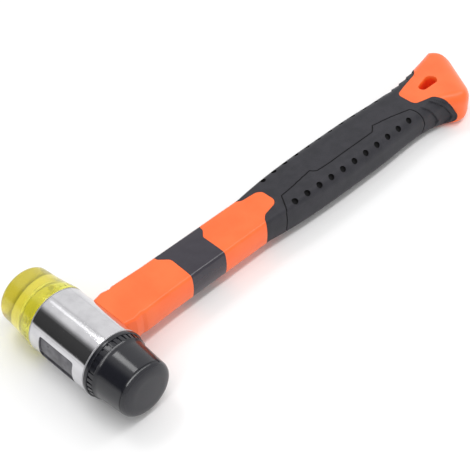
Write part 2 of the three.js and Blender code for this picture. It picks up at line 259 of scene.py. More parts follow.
class Surface:
    """A material with one Principled shader, filled in by a finish."""

    def __init__(self, name: str) -> None:
        """Make the material and its shader."""
        self.material = bpy.data.materials.new(name)
        self.material.use_nodes = True
        self.tree = Tree(self.material.node_tree)
        self.shader = self.tree.add("ShaderNodeBsdfPrincipled")
        self.tree.add("ShaderNodeOutputMaterial", None, {"Surface": self.shader.outputs[0]})
        self.place = self.tree.add("ShaderNodeTexCoord").outputs["Object"]

    def set(self, **sockets: Any) -> None:
        """Set inputs of the shader; an underscore in a name stands for a space."""
        for name, value in sockets.items():
            self.tree.feed(self.shader.inputs[name.replace("_", " ")], value)

    def axis(self, letter: str) -> Term:
        """One coordinate of the surface, in metres."""
        node = self.tree.add("ShaderNodeSeparateXYZ", None, {0: self.place})
        return Term(self.tree, node.outputs[letter])

    def attribute(self, name: str) -> Term:
        """A number that is kept on the mesh."""
        node = self.tree.add("ShaderNodeAttribute", {"attribute_name": name})
        return Term(self.tree, node.outputs["Fac"])

    def noise(self, grain: float, detail: float = 3.0, stretch: Sequence[float] = (1, 1, 1)) -> Term:
        """Noise from 0 to 1.

        Args:
            grain: Size of its grains in millimetres.
            detail: How many finer layers it has.
            stretch: How fast it runs along X, Y and Z.

        Returns:
            The noise as a term.
        """
        sockets = {"Vector": self.place, "Scale": tuple(stretch)}
        mapping = self.tree.add("ShaderNodeMapping", None, sockets)
        sockets = {"Vector": mapping.outputs[0], "Scale": 1 / (grain * MILLIMETRE), "Detail": detail}
        node = self.tree.add("ShaderNodeTexNoise", None, sockets)
        return Term(self.tree, node.outputs[0])

    def pebbles(self, grain: float) -> Term:
        """Rounded grains, from 0 at their middles outwards.

        Args:
            grain: Size of the grains in millimetres.

        Returns:
            How far the nearest middle is, as a term.
        """
        sockets = {"Vector": self.place, "Scale": 1 / (grain * MILLIMETRE)}
        node = self.tree.add("ShaderNodeTexVoronoi", {"feature": "SMOOTH_F1"}, sockets)
        return Term(self.tree, node.outputs["Distance"])

    def mix(self, share: Term, first: Any, second: Any) -> bpy.types.NodeSocket:
        """Colour between two colours.

        Args:
            share: How much of the second colour there is, from 0 to 1.
            first: The first colour, or the socket that gives it.
            second: The second one.

        Returns:
            The mixed colour's socket.
        """
        pair = [(*c, 1.0) if isinstance(c, tuple) else c for c in (first, second)]
        sockets = {0: share, 6: pair[0], 7: pair[1]}
        return self.tree.add("ShaderNodeMix", {"data_type": "RGBA"}, sockets).outputs[2]

    def bump(self, height: Term, depth: float) -> None:
        """Roughen the surface.

        Args:
            height: The relief, as a term.
            depth: How deep a relief of 1 is, in millimetres.
        """
        sockets = {"Height": height, "Distance": depth * MILLIMETRE, "Strength": 1.0}
        node = self.tree.add("ShaderNodeBump", None, sockets)
        self.set(Normal=node.outputs[0])


# Finishes


@dataclass(frozen=True)
class PlatedFinish:
    """Bright plating with faint turning lines and small pits, satin on the turned ends.

    The head's middle and the place and blend of its ends are in metres along Y.
    """

    light: Colour = (0.66, 0.655, 0.675)
    dull: Colour = (0.56, 0.555, 0.575)
    roughness: float = 0.05
    end_roughness: float = 0.45
    head_middle: float = -0.0006
    end_place: float = 0.0188
    end_blend: float = 0.0001
    relief: float = 0.006

    def build(self) -> bpy.types.Material:
        """Make the material.

        Returns:
            The material.
        """
        surface = Surface("plated_steel_finish")
        cloud = surface.noise(9, 4)
        lines = surface.noise(0.9, 4, (0.12, 3.0, 0.12))
        pits = surface.noise(0.7, 2)
        along = surface.axis("Y") - self.head_middle
        ends = (along * along).ramp(self.end_place**2, (self.end_place + self.end_blend) ** 2)
        wear = 0.05 * cloud.ramp(0.4, 0.8) + 0.02 * lines
        surface.set(
            Base_Color=surface.mix(cloud.ramp(0.35, 0.75), self.light, self.dull),
            Metallic=1.0,
            Roughness=self.roughness + wear + self.end_roughness * ends,
        )
        waves = surface.noise(2.6, 2)
        surface.bump(0.6 * lines + pits.ramp(0.6, 0.75) + 0.9 * waves, self.relief)
        return surface.material


@dataclass(frozen=True)
class ResinFinish:
    """Matte grey casting resin, slightly clouded."""

    dark: Colour = (0.115, 0.113, 0.124)
    light: Colour = (0.20, 0.197, 0.212)
    relief: float = 0.12

    def build(self) -> bpy.types.Material:
        """Make the material.

        Returns:
            The material.
        """
        surface = Surface("casting_resin_finish")
        cloud = surface.noise(5, 5)
        grain = surface.noise(0.5, 3)
        surface.set(
            Base_Color=surface.mix(cloud.ramp(0.3, 0.7), self.dark, self.light),
            Roughness=0.55 + 0.25 * cloud,
        )
        surface.bump(cloud + 0.25 * grain, self.relief)
        return surface.material


@dataclass(frozen=True)
class FibreFinish:
    """Glass-fibre bar with strands along the handle."""

    light: Colour = (0.72, 0.66, 0.42)
    dark: Colour = (0.52, 0.46, 0.26)
    relief: float = 0.05

    def build(self) -> bpy.types.Material:
        """Make the material.

        Returns:
            The material.
        """
        surface = Surface("glass_fibre_finish")
        strands = surface.noise(0.6, 4, (0.04, 1, 1))
        surface.set(
            Base_Color=surface.mix(strands, self.dark, self.light),
            Roughness=0.35 + 0.3 * strands,
        )
        surface.bump(strands, self.relief)
        return surface.material


@dataclass(frozen=True)
class OrangeFinish:
    """Satin orange moulding, with painted shade: a darker, redder orange painted into its recesses, by
    depth under the skin.
    """

    base: Colour = (0.96, 0.135, 0.020)
    pale: Colour = (0.98, 0.160, 0.030)
    # Painted shade: darker, redder orange painted where the surface lies deep under the skin, as in the
    # hang hole
    painted_recess_shade: Colour = (0.99, 0.055, 0.016)
    # Depths in millimetres over which the painted recess shade fades in
    sunk: tuple[float, float] = (0.6, 4.0)
    relief: float = 0.01

    def build(self) -> bpy.types.Material:
        """Make the material.

        Returns:
            The material.
        """
        surface = Surface("orange_plastic_finish")
        cloud = surface.noise(14, 3)
        grain = surface.noise(0.35, 2)
        skin = surface.mix(cloud.ramp(0.3, 0.7), self.base, self.pale)
        # Painted shade: depth under the skin sets how much of the painted recess shade is mixed in
        sunk = surface.attribute(DEPTH_ATTRIBUTE).ramp(*self.sunk)
        surface.set(
            Base_Color=surface.mix(sunk, skin, self.painted_recess_shade),
            Roughness=0.26 + 0.08 * cloud + 0.05 * grain,
        )
        surface.bump(grain, self.relief)
        return surface.material


@dataclass(frozen=True)
class GripFinish:
    """Dark soft moulding with a fine stipple, with painted shade: near black painted into its recesses,
    by depth under the skin.
    """

    base: Colour = (0.013, 0.013, 0.018)
    pale: Colour = (0.026, 0.025, 0.032)
    # Painted shade: the near-black colour painted into the dots and the groove, and the depths over
    # which it fades in
    recess: Colour = (0.0035, 0.0035, 0.004)
    sunk: tuple[float, float] = (0.06, 0.34)
    roughness: float = 0.5
    relief: float = 0.03
    gloss: float = 0.38

    def build(self, name: str) -> bpy.types.Material:
        """Make the material.

        Args:
            name: The material's name.

        Returns:
            The material.
        """
        surface = Surface(name)
        cloud = surface.noise(6, 4)
        stipple = surface.pebbles(0.55)
        grain = surface.noise(0.3, 2)
        skin = surface.mix((0.6 * cloud + 0.4 * grain).ramp(0.35, 0.65), self.base, self.pale)
        # Painted shade: depth under the skin darkens the dots and the groove
        sunk = surface.attribute(DEPTH_ATTRIBUTE).ramp(*self.sunk)
        surface.set(
            Base_Color=surface.mix(sunk, skin, self.recess),
            Roughness=self.roughness + 0.12 * cloud + 0.3 * sunk,
            Specular_IOR_Level=self.gloss,
        )
        surface.bump(stipple + 0.5 * grain, self.relief)
        return surface.material


@dataclass(frozen=True)
class RubberFinish:
    """Black rubber, polished on its sides and matte on the striking end.

    Places are in metres against Y, the way that this face points.
    """

    side: Colour = (0.0115, 0.012, 0.0165)
    end: Colour = (0.0155, 0.0155, 0.021)
    edge_start: float = 0.0408
    edge_full: float = 0.0414
    end_start: float = 0.0426
    end_full: float = 0.0454
    relief: float = 0.02

    def build(self) -> bpy.types.Material:
        """Make the material.

        Returns:
            The material.
        """
        surface = Surface("black_rubber_finish")
        struck = (-surface.axis("Y")).ramp(self.end_start, self.end_full)
        edge = (-surface.axis("Y")).ramp(self.edge_start, self.edge_full)
        cloud = surface.noise(5, 4)
        grain = surface.noise(0.4, 3)
        surface.set(
            Base_Color=surface.mix(struck, self.side, self.end),
            Roughness=0.17 + 0.03 * cloud - 0.06 * edge + (0.22 + 0.1 * grain) * struck,
        )
        surface.bump(grain * (0.15 + struck), self.relief)
        return surface.material


@dataclass(frozen=True)
class YellowFinish:
    """Translucent yellow plastic, deeper in its solid end, which starts between two places along Y."""

    wall: Colour = (0.89, 0.87, 0.12)
    end: Colour = (0.94, 0.85, 0.11)
    end_start: float = 0.0270
    end_full: float = 0.0290
    transmission: float = 0.78
    refraction: float = 1.47
    relief: float = 0.02

    def build(self) -> bpy.types.Material:
        """Make the material.

        Returns:
            The material.
        """
        surface = Surface("yellow_plastic_finish")
        solid = surface.axis("Y").ramp(self.end_start, self.end_full)
        cloud = surface.noise(7, 3)
        surface.set(
            Base_Color=surface.mix((solid + 0.4 * (cloud - 0.5)).clamped(), self.wall, self.end),
            Roughness=0.03 + 0.03 * cloud,
            Transmission_Weight=self.transmission,
            IOR=self.refraction,
        )
        surface.bump(cloud, self.relief)
        return surface.material


@dataclass(frozen=True)
class FloorFinish:
    """Plain pale studio floor."""

    base: Colour = (0.92, 0.92, 0.92)
    pale: Colour = (0.94, 0.94, 0.94)

    def build(self) -> bpy.types.Material:
        """Make the material.

        Returns:
            The material.
        """
        surface = Surface("floor_finish")
        cloud = surface.noise(300, 2)
        surface.set(Base_Color=surface.mix(cloud, self.base, self.pale), Roughness=0.8 + 0.1 * cloud)
        return surface.material


# Solids in the making


def link(name: str, data: bpy.types.ID) -> bpy.types.Object:
    """Make an object and link it to the scene.

    Args:
        name: Name of the object.
        data: Its mesh, light or camera.

    Returns:
        The object.
    """
    made = bpy.data.objects.new(name, data)
    bpy.context.scene.collection.objects.link(made)
    return made


def solid(
    name: str, points: Sequence[Sequence[float]], faces: Sequence[Sequence[int]]
) -> bpy.types.Object:
    """Make a closed solid with its faces turned outwards.

    Args:
        name: Name of the object.
        points: Its corners in millimetres.
        faces: Its faces as corner numbers.

    Returns:
        The solid.
    """
    mesh = bpy.data.meshes.new(name)
    mesh.from_pydata([tuple(map(float, point)) for point in points], [], faces)
    work = bmesh.new()
    work.from_mesh(mesh)
    bmesh.ops.remove_doubles(work, verts=work.verts, dist=MERGED)
    bmesh.ops.recalc_face_normals(work, faces=work.faces)
    work.to_mesh(mesh)
    work.free()
    return link(name, mesh)


def turned(name: str, profile: Profile, segments: int = 144, loop: bool = False) -> bpy.types.Object:
    """Turn a profile of (radius, along) points round the Y axis.

    Args:
        name: Name of the object.
        profile: Points of the profile; a radius of 0 makes a pole.
        segments: Facets round the axis.
        loop: Whether the profile closes on itself, as a ring's does.

    Returns:
        The turned solid.
    """
    points: list[tuple[float, float, float]] = []
    rows: list[list[int]] = []
    for radius, along in profile:
        count = segments if radius > 0 else 1
        rows.append([len(points) + i for i in range(count)])
        for i in range(count):
            angle = math.tau * i / segments
            points.append((radius * math.sin(angle), along, radius * math.cos(angle)))
    pairs = list(zip(rows, rows[1:] + rows[:1]))
    faces: list[list[int]] = []
    for here, there in pairs if loop else pairs[:-1]:
        for i in range(segments):
            corners = [here[i % len(here)], here[(i + 1) % len(here)]]
            corners += [there[(i + 1) % len(there)], there[i % len(there)]]
            faces.append(list(dict.fromkeys(corners)))
    return solid(name, points, [face for face in faces if len(face) > 2])


def lofted(name: str, rings: Sequence[np.ndarray]) -> bpy.types.Object:
    """Join rings of points into a closed solid.

    Args:
        name: Name of the object.
        rings: The rings in order, each with as many points.

    Returns:
        The solid.
    """
    count = len(rings[0])
    faces: list[list[int]] = []
    for row in range(len(rings) - 1):
        for i in range(count):
            here, after = row * count + i, row * count + (i + 1) % count
            faces.append([here, after, after + count, here + count])
    last = (len(rings) - 1) * count
    faces.append(list(range(count))[::-1])
    faces.append([last + i for i in range(count)])
    return solid(name, np.concatenate(rings), faces)


def prism(
    name: str, outline: np.ndarray, low: float, high: float, axis: str = "Z"
) -> bpy.types.Object:
    """Raise a flat outline into a prism.

    Args:
        name: Name of the object.
        outline: Its points, on the two axes that the prism doesn't run along.
        low: Where the prism starts.
        high: Where it ends.
        axis: X, Y or Z, the direction that it runs in.

    Returns:
        The prism.
    """
    column = "XYZ".index(axis)
    return lofted(name, [np.insert(outline, column, level, axis=1) for level in (low, high)])


def bend(start: np.ndarray, corner: np.ndarray, end: np.ndarray, t: float) -> np.ndarray:
    """The point at share t of the curve that rounds a corner."""
    return (1 - t) ** 2 * start + 2 * t * (1 - t) * corner + t * t * end


def unit(rows: np.ndarray) -> np.ndarray:
    """Each row with its length made 1."""
    return rows / np.linalg.norm(rows, axis=1)[:, None]


def rounded(corners: Sequence[Sequence[float]], radius: float, steps: int = 5) -> np.ndarray:
    """Round the corners of a closed outline.

    Args:
        corners: Its corners in order.
        radius: How far along each side a corner's curve starts.
        steps: Points on each curve.

    Returns:
        The rounded outline.
    """
    points = np.array(corners, float)
    made = []
    for i, corner in enumerate(points):
        before = points[i - 1] - corner
        after = points[(i + 1) % len(points)] - corner
        lengths = np.linalg.norm(before), np.linalg.norm(after)
        reach = min(radius, *(CORNER_SHARE * length for length in lengths))
        start = corner + before / lengths[0] * reach
        end = corner + after / lengths[1] * reach
        made += [bend(start, corner, end, t) for t in np.linspace(0, 1, steps)]
    return np.array(made)


def inflated(outline: np.ndarray, gap: float) -> np.ndarray:
    """Move a closed outline outwards.

    Args:
        outline: The outline.
        gap: How far each point moves.

    Returns:
        The wider outline.
    """
    before = outline - np.roll(outline, 1, axis=0)
    after = np.roll(outline, -1, axis=0) - outline
    x, y = outline.T
    area = np.sum(x * np.roll(y, -1) - y * np.roll(x, -1))
    sides = unit(unit(before) + unit(after))
    outward = np.stack([sides[:, 1], -sides[:, 0]], axis=1) * math.copysign(1.0, area)
    return outline + outward * gap


def bake(made: bpy.types.Object) -> bpy.types.Object:
    """Turn an object's modifiers into plain mesh.

    Args:
        made: The object.

    Returns:
        The same object, with its new mesh.
    """
    bpy.context.view_layer.update()
    graph = bpy.context.evaluated_depsgraph_get()
    mesh = bpy.data.meshes.new_from_object(made.evaluated_get(graph))
    old = made.data
    made.modifiers.clear()
    made.data = mesh
    bpy.data.meshes.remove(old)
    return made


def discard(made: bpy.types.Object) -> None:
    """Remove an object that has done its work, and its mesh.

    Args:
        made: The object.
    """
    mesh = made.data
    bpy.data.objects.remove(made)
    bpy.data.meshes.remove(mesh)


def carve(
    target: bpy.types.Object, tool: bpy.types.Object, cut: Cut = Cut.TAKE_AWAY
) -> bpy.types.Object:
    """Cut a solid with another one, which is used up.

    Args:
        target: The solid that stays.
        tool: The solid that is used up.
        cut: What the tool does.

    Returns:
        The target, with its new mesh.
    """
    modifier = target.modifiers.new("carve", "BOOLEAN")
    modifier.operation = cut.value
    modifier.solver = "MANIFOLD"
    modifier.object = tool
    bake(target)
    discard(tool)
    return target


def clean(made: bpy.types.Object) -> None:
    """Take out the slivers, and the flaps of two faces back to back, that the cuts have left.

    Args:
        made: The piece, still in millimetres.
    """
    work = bmesh.new()
    work.from_mesh(made.data)
    bmesh.ops.dissolve_degenerate(work, dist=SLIVER, edges=work.edges)
    bmesh.ops.triangulate(work, faces=work.faces, quad_method="BEAUTY", ngon_method="BEAUTY")
    bmesh.ops.dissolve_degenerate(work, dist=SLIVER, edges=work.edges)
    uses = Counter(frozenset(face.verts) for face in work.faces)
    flaps = [face for face in work.faces if uses[frozenset(face.verts)] > 1]
    bmesh.ops.delete(work, geom=flaps, context="FACES")
    work.to_mesh(made.data)
    work.free()


def duplicate(made: bpy.types.Object) -> bpy.types.Object:
    """Copy an object with a mesh of its own."""
    return link(made.name, made.data.copy())


class Recipe:
    """A Geometry Nodes tree with named inputs, one of them the Material."""

    def __init__(self, name: str, sizes: Sequence[str], counts: Sequence[str] = ()) -> None:
        """Make the tree.

        Args:
            name: Name of the tree.
            sizes: Its inputs that take any number.
            counts: Its inputs that take whole numbers.
        """
        group = bpy.data.node_groups.new(name, "GeometryNodeTree")
        kinds = {"Geometry": "Geometry", "Material": "Material"}
        kinds |= dict.fromkeys(sizes, "Float") | dict.fromkeys(counts, "Int")
        ports = [("INPUT", *item) for item in kinds.items()] + [("OUTPUT", "Geometry", "Geometry")]
        for way, label, kind in ports:
            group.interface.new_socket(name=label, in_out=way, socket_type="NodeSocket" + kind)
        self.group = group
        self.tree = Tree(group)
        self.inputs = self.tree.add("NodeGroupInput").outputs

    def term(self, name: str) -> Term:
        """One of the inputs as a number to reckon with."""
        return Term(self.tree, self.inputs[name])

    def add(self, kind: str, settings: dict[str, Any] | None = None, sockets: Any = None) -> Any:
        """Add a node and return its first output."""
        return self.tree.add(kind, settings, sockets).outputs[0]

    def end(self, geometry: bpy.types.NodeSocket) -> None:
        """Realize the instances, set the material and send the result out.

        Args:
            geometry: The output of the tree's last node.
        """
        real = self.add("GeometryNodeRealizeInstances", None, {0: geometry})
        sockets = {"Geometry": real, "Material": self.inputs["Material"]}
        dressed = self.add("GeometryNodeSetMaterial", None, sockets)
        self.tree.add("NodeGroupOutput", None, {0: dressed})

    def lay_along_head(self, geometry: bpy.types.NodeSocket) -> bpy.types.NodeSocket:
        """Turn what runs along Z to run along Y, and shift it there by the input Place.

        Args:
            geometry: What is turned.

        Returns:
            The turned geometry.
        """
        shift = self.add("ShaderNodeCombineXYZ", None, {1: self.inputs["Place"]})
        sockets = {"Geometry": geometry, "Translation": shift, "Rotation": (-math.pi / 2, 0, 0)}
        return self.add("GeometryNodeTransform", None, sockets)

    def run(self, made: bpy.types.Object, **values: Any) -> bpy.types.Object:
        """Run the tree on an object and bake the result.

        Args:
            made: The object, whose mesh goes in at Geometry.
            values: The other inputs.

        Returns:
            The object, with its new mesh.
        """
        modifier = made.modifiers.new(self.group.name, "NODES")
        modifier.node_group = self.group
        for item in self.group.interface.items_tree:
            if item.in_out == "INPUT" and item.name in values:
                modifier[item.identifier] = values[item.name]
        return bake(made)

    def make(self, name: str, **values: Any) -> bpy.types.Object:
        """Run a tree that needs no geometry, on a mesh of one point."""
        return self.run(solid(name, [(0, 0, 0)], []), **values)


def block_ring_recipe() -> Recipe:
    """Blocks in a ring round the Y axis: the spaces between the teeth of a face.

    Returns:
        The recipe.
    """
    recipe = Recipe("block_ring", ("Radius", "Width", "Length", "Depth", "Place"), ("Count",))
    sockets = {0: recipe.term("Depth") * 2.0, 1: recipe.inputs["Width"], 2: recipe.inputs["Length"]}
    size = recipe.add("ShaderNodeCombineXYZ", None, sockets)
    block = recipe.add("GeometryNodeMeshCube", None, {"Size": size})
    sockets = {"Vertices": recipe.inputs["Count"], "Radius": recipe.inputs["Radius"]}
    ring = recipe.add("GeometryNodeMeshCircle", None, sockets)
    index = Term(recipe.tree, recipe.add("GeometryNodeInputIndex"))
    turn = recipe.add("ShaderNodeCombineXYZ", None, {2: index * math.tau / recipe.term("Count")})
    rotation = recipe.add("FunctionNodeEulerToRotation", None, {0: turn})
    sockets = {"Points": ring, "Instance": block, "Rotation": rotation}
    blocks = recipe.add("GeometryNodeInstanceOnPoints", None, sockets)
    recipe.end(recipe.lay_along_head(blocks))
    return recipe


def stud_recipe() -> Recipe:
    """Studs on a row of points, each standing along the outward direction kept on its point.

    Returns:
        The recipe.
    """
    recipe = Recipe("studs", ("Radius", "Depth"), ("Sides",))
    sockets = {
        "Vertices": recipe.inputs["Sides"],
        "Radius": recipe.inputs["Radius"],
        "Depth": recipe.term("Depth") * 2.0,
    }
    stud = recipe.add("GeometryNodeMeshCylinder", None, sockets)
    settings = {"data_type": "FLOAT_VECTOR"}
    outward = recipe.add("GeometryNodeInputNamedAttribute", settings, {0: OUTWARD_ATTRIBUTE})
    rotation = recipe.add("FunctionNodeAlignRotationToVector", {"axis": "Z"}, {"Vector": outward})
    sockets = {"Points": recipe.inputs["Geometry"], "Instance": stud, "Rotation": rotation}
    recipe.end(recipe.add("GeometryNodeInstanceOnPoints", None, sockets))
    return recipe


def groove_recipe() -> Recipe:
    """A round bead along a line of edges, which cuts a groove.

    Returns:
        The recipe.
    """
    recipe = Recipe("groove", ("Radius",), ("Sides",))
    line = recipe.add("GeometryNodeMeshToCurve", None, {0: recipe.inputs["Geometry"]})
    sockets = {"Resolution": recipe.inputs["Sides"], "Radius": recipe.inputs["Radius"]}
    section = recipe.add("GeometryNodeCurvePrimitiveCircle", None, sockets)
    sockets = {"Curve": line, "Profile Curve": section, "Fill Caps": True}
    recipe.end(recipe.add("GeometryNodeCurveToMesh", None, sockets))
    return recipe


def thread_recipe() -> Recipe:
    """A screw thread round the Y axis: a diamond section along a helix.

    Returns:
        The recipe.
    """
    recipe = Recipe("thread", ("Radius", "Height", "Pitch", "Turns", "Place"), ("Steps",))
    sockets = {
        "Resolution": recipe.inputs["Steps"],
        "Rotations": recipe.inputs["Turns"],
        "Start Radius": recipe.inputs["Radius"],
        "End Radius": recipe.inputs["Radius"],
        "Height": recipe.term("Pitch") * recipe.term("Turns"),
    }
    helix = recipe.add("GeometryNodeCurveSpiral", None, sockets)
    helix = recipe.add("GeometryNodeSetCurveNormal", {"mode": "Z_UP"}, {"Curve": helix})
    sockets = {"Resolution": 4, "Radius": recipe.inputs["Height"]}
    section = recipe.add("GeometryNodeCurvePrimitiveCircle", None, sockets)
    sockets = {"Curve": helix, "Profile Curve": section, "Fill Caps": True}
    recipe.end(recipe.lay_along_head(recipe.add("GeometryNodeCurveToMesh", None, sockets)))
    return recipe


# Placing


@dataclass(frozen=True)
class Place:
    """Where the mallet's own axes lie in the frame."""

    centre: Vector
    tilt: float = math.radians(1.4764)

    @property
    def turn(self) -> Matrix:
        """The turn from the mallet's axes to the frame's."""
        return Matrix.Rotation(self.tilt, 4, "Y")

    @property
    def matrix(self) -> Matrix:
        """From millimetres on the mallet's axes to metres in the frame."""
        return Matrix.Translation(self.centre) @ self.turn @ Matrix.Scale(MILLIMETRE, 4)

    @classmethod
    def from_frame(cls) -> "Place":
        """Find the middle of the head from the box of its tube."""
        low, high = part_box("head_tube")
        return cls((low + high) / 2)


@dataclass
class Workshop:
    """What every sub-assembly needs: the place and the finishes."""

    place: Place
    plated: bpy.types.Material = field(init=False)
    resin: bpy.types.Material = field(init=False)
    fibre: bpy.types.Material = field(init=False)
    orange: bpy.types.Material = field(init=False)
    grip: bpy.types.Material = field(init=False)
    band: bpy.types.Material = field(init=False)
    rubber: bpy.types.Material = field(init=False)
    yellow: bpy.types.Material = field(init=False)

    def __post_init__(self) -> None:
        """Make the finishes."""
        self.plated = PlatedFinish().build()
        self.resin = ResinFinish().build()
        self.fibre = FibreFinish().build()
        self.orange = OrangeFinish().build()
        self.grip = GripFinish().build("soft_grip_finish")
        band = GripFinish(
            base=(0.0215, 0.0175, 0.0275),
            pale=(0.0275, 0.0235, 0.0345),
            roughness=0.13,
            relief=0.003,
            gloss=0.5,
        )
        self.band = band.build("neck_band_finish")
        self.rubber = RubberFinish().build()
        self.yellow = YellowFinish().build()

    def hand_over(
        self,
        made: bpy.types.Object,
        finish: bpy.types.Material,
        body: Body,
        slot: Slot,
        node: str,
        sharp: float = 32.0,
    ) -> None:
        """Put a finished piece in its place in the frame.

        Args:
            made: The piece, in millimetres on the mallet's axes.
            finish: Its material.
            body: The body that it rides on.
            slot: The record's material slot; not used.
            node: The CAD node that it stands for.
            sharp: Edges sharper than this, in degrees, stay sharp.
        """
        clean(made)
        made.data.transform(self.place.matrix)
        made.data.shade_smooth()
        made.data.set_sharp_from_angle(angle=math.radians(sharp))
        weights = made.modifiers.new("weights", "WEIGHTED_NORMAL")
        weights.keep_sharp = True
        mesh = bake(made).data
        mesh.materials.clear()
        mesh.materials.append(finish)
        for polygon in mesh.polygons:
            polygon.material_index = 0
        mesh.update()
        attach(made, body.value)
        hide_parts(node)
        LOG.info("%s: %d faces on %s", made.name, len(mesh.polygons), body.value)


# Head


@dataclass
class Head:
    """The plated tube, the casting in it and the rings at its ends, in millimetres."""

    shop: Workshop
    radius: float = 17.5
    bore: float = 14.5
    socket: float = 15.8
    half_length: float = 19.14
    socket_start: float = 12.0
    socket_step: float = 0.6
    socket_lead: float = 0.3
    edge: float = 0.32
    window: tuple[float, float] = (24.0, 14.0)
    window_corner: float = 1.5
    rear_window: tuple[float, float] = (18.2, 12.2)
    recess: float = 1.1
    fill_gap: float = 0.22
    plug_gap: float = 0.1
    ring_seat: float = 19.25
    ring_thickness: float = 0.3
    ring_edge: float = 0.08
    pinhole: tuple[float, float] = (6.5, 3.7)
    pinhole_rings: Line = ((-1.0, 0.62), (0.2, 0.5), (1.2, 0.3))
    pinhole_facets: int = 14

    def window_bar(
        self, size: tuple[float, float], low: float, high: float, shrink: float = 0.0
    ) -> bpy.types.Object:
        """A bar along X with rounded corners.

        Args:
            size: Its size along Y and Z.
            low: Where it starts.
            high: Where it ends.
            shrink: How much smaller it is on each side.

        Returns:
            The bar.
        """
        across, up = size[0] / 2 - shrink, size[1] / 2 - shrink
        corners = [(-across, -up), (across, -up), (across, up), (-across, up)]
        return prism("window_bar", rounded(corners, self.window_corner, 8), low, high, "X")

    def tube(self) -> bpy.types.Object:
        """The tube with its two windows.

        Returns:
            The tube.
        """
        end, soft = self.half_length, self.edge
        half: Profile = [
            (self.bore, 0.0),
            (self.bore, self.socket_start),
            (self.socket, self.socket_start + self.socket_step),
            (self.socket, end - self.socket_lead),
            (self.socket + self.socket_lead, end),
            (self.radius - soft, end),
            (self.radius - 0.3 * soft, end - 0.3 * soft),
            (self.radius, end - soft),
        ]
        levels = np.linspace(end - soft, 0, 9)[1:]
        half += [(self.radius, float(level)) for level in levels]
        other = [(radius, -along) for radius, along in reversed(half[1:-1])]
        made = turned("head_tube_shell", half + other, TUBE_FACETS, loop=True)
        carve(made, self.window_bar(self.window, -2 * self.radius, -self.bore / 2))
        return carve(made, self.window_bar(self.rear_window, self.bore / 2, 2 * self.radius))

    def casting(self) -> bpy.types.Object:
        """The resin in the tube, which fills the front window to just under its rim.

        Returns:
            The casting, with a pinhole in its front.
        """
        end, plug, wide = self.half_length, self.socket_start, self.bore - self.plug_gap
        made = self.window_bar(self.window, -self.radius, 0, self.fill_gap)
        fill = self.radius - self.recess
        levels = [(fill, float(level)) for level in np.linspace(-end, end, 9)]
        carve(made, turned("fill_limit", [(0, -end), *levels, (0, end)]), Cut.KEEP_COMMON)
        core = [(0, -plug), (wide, -plug), (wide, plug), (0, plug)]
        carve(made, turned("plug", core), Cut.JOIN)
        across, up = self.pinhole
        depth = math.sqrt(fill**2 - up**2)
        rings = []
        for shift, radius in self.pinhole_rings:
            ring = []
            for angle in np.linspace(0, math.tau, self.pinhole_facets, endpoint=False):
                y, z = across + radius * math.cos(angle), up + radius * math.sin(angle)
                ring.append((shift - depth, y, z))
            rings.append(np.array(ring))
        carve(made, lofted("pinhole", rings))
        made.name = "eye_potting_fill"
        return made

    def ring(self, name: str, side: int) -> bpy.types.Object:
        """The thin ring between the tube and a face.

        Args:
            name: Name of the ring.
            side: 1 at the yellow end, -1 at the black one.

        Returns:
            The ring.
        """
        low, high = self.ring_seat, self.ring_seat + self.ring_thickness
        soft = self.ring_edge
        profile = [
            (self.socket, low),
            (self.radius - soft, low),
            (self.radius, low + soft),
            (self.radius, high - soft),
            (self.radius - soft, high),
            (self.socket, high),
        ]
        profile = [(radius, side * along) for radius, along in profile]
        return turned(name, profile, TUBE_FACETS, loop=True)

    def build(self) -> None:
        """Make and place the head's pieces."""
        shop = self.shop
        shop.hand_over(self.tube(), shop.plated, Body.MALLET, Slot.PLATED, "head_tube")
        shop.hand_over(self.casting(), shop.resin, Body.MALLET, Slot.RESIN, "eye_potting")
        for name, side, body in (
            ("rubber_face_washer", -1, Body.RUBBER_SEAT),
            ("clear_face_washer", 1, Body.CLEAR_SEAT),
        ):
            shop.hand_over(self.ring(name + "_ring", side), shop.plated, body, Slot.PLATED, name)


# Faces


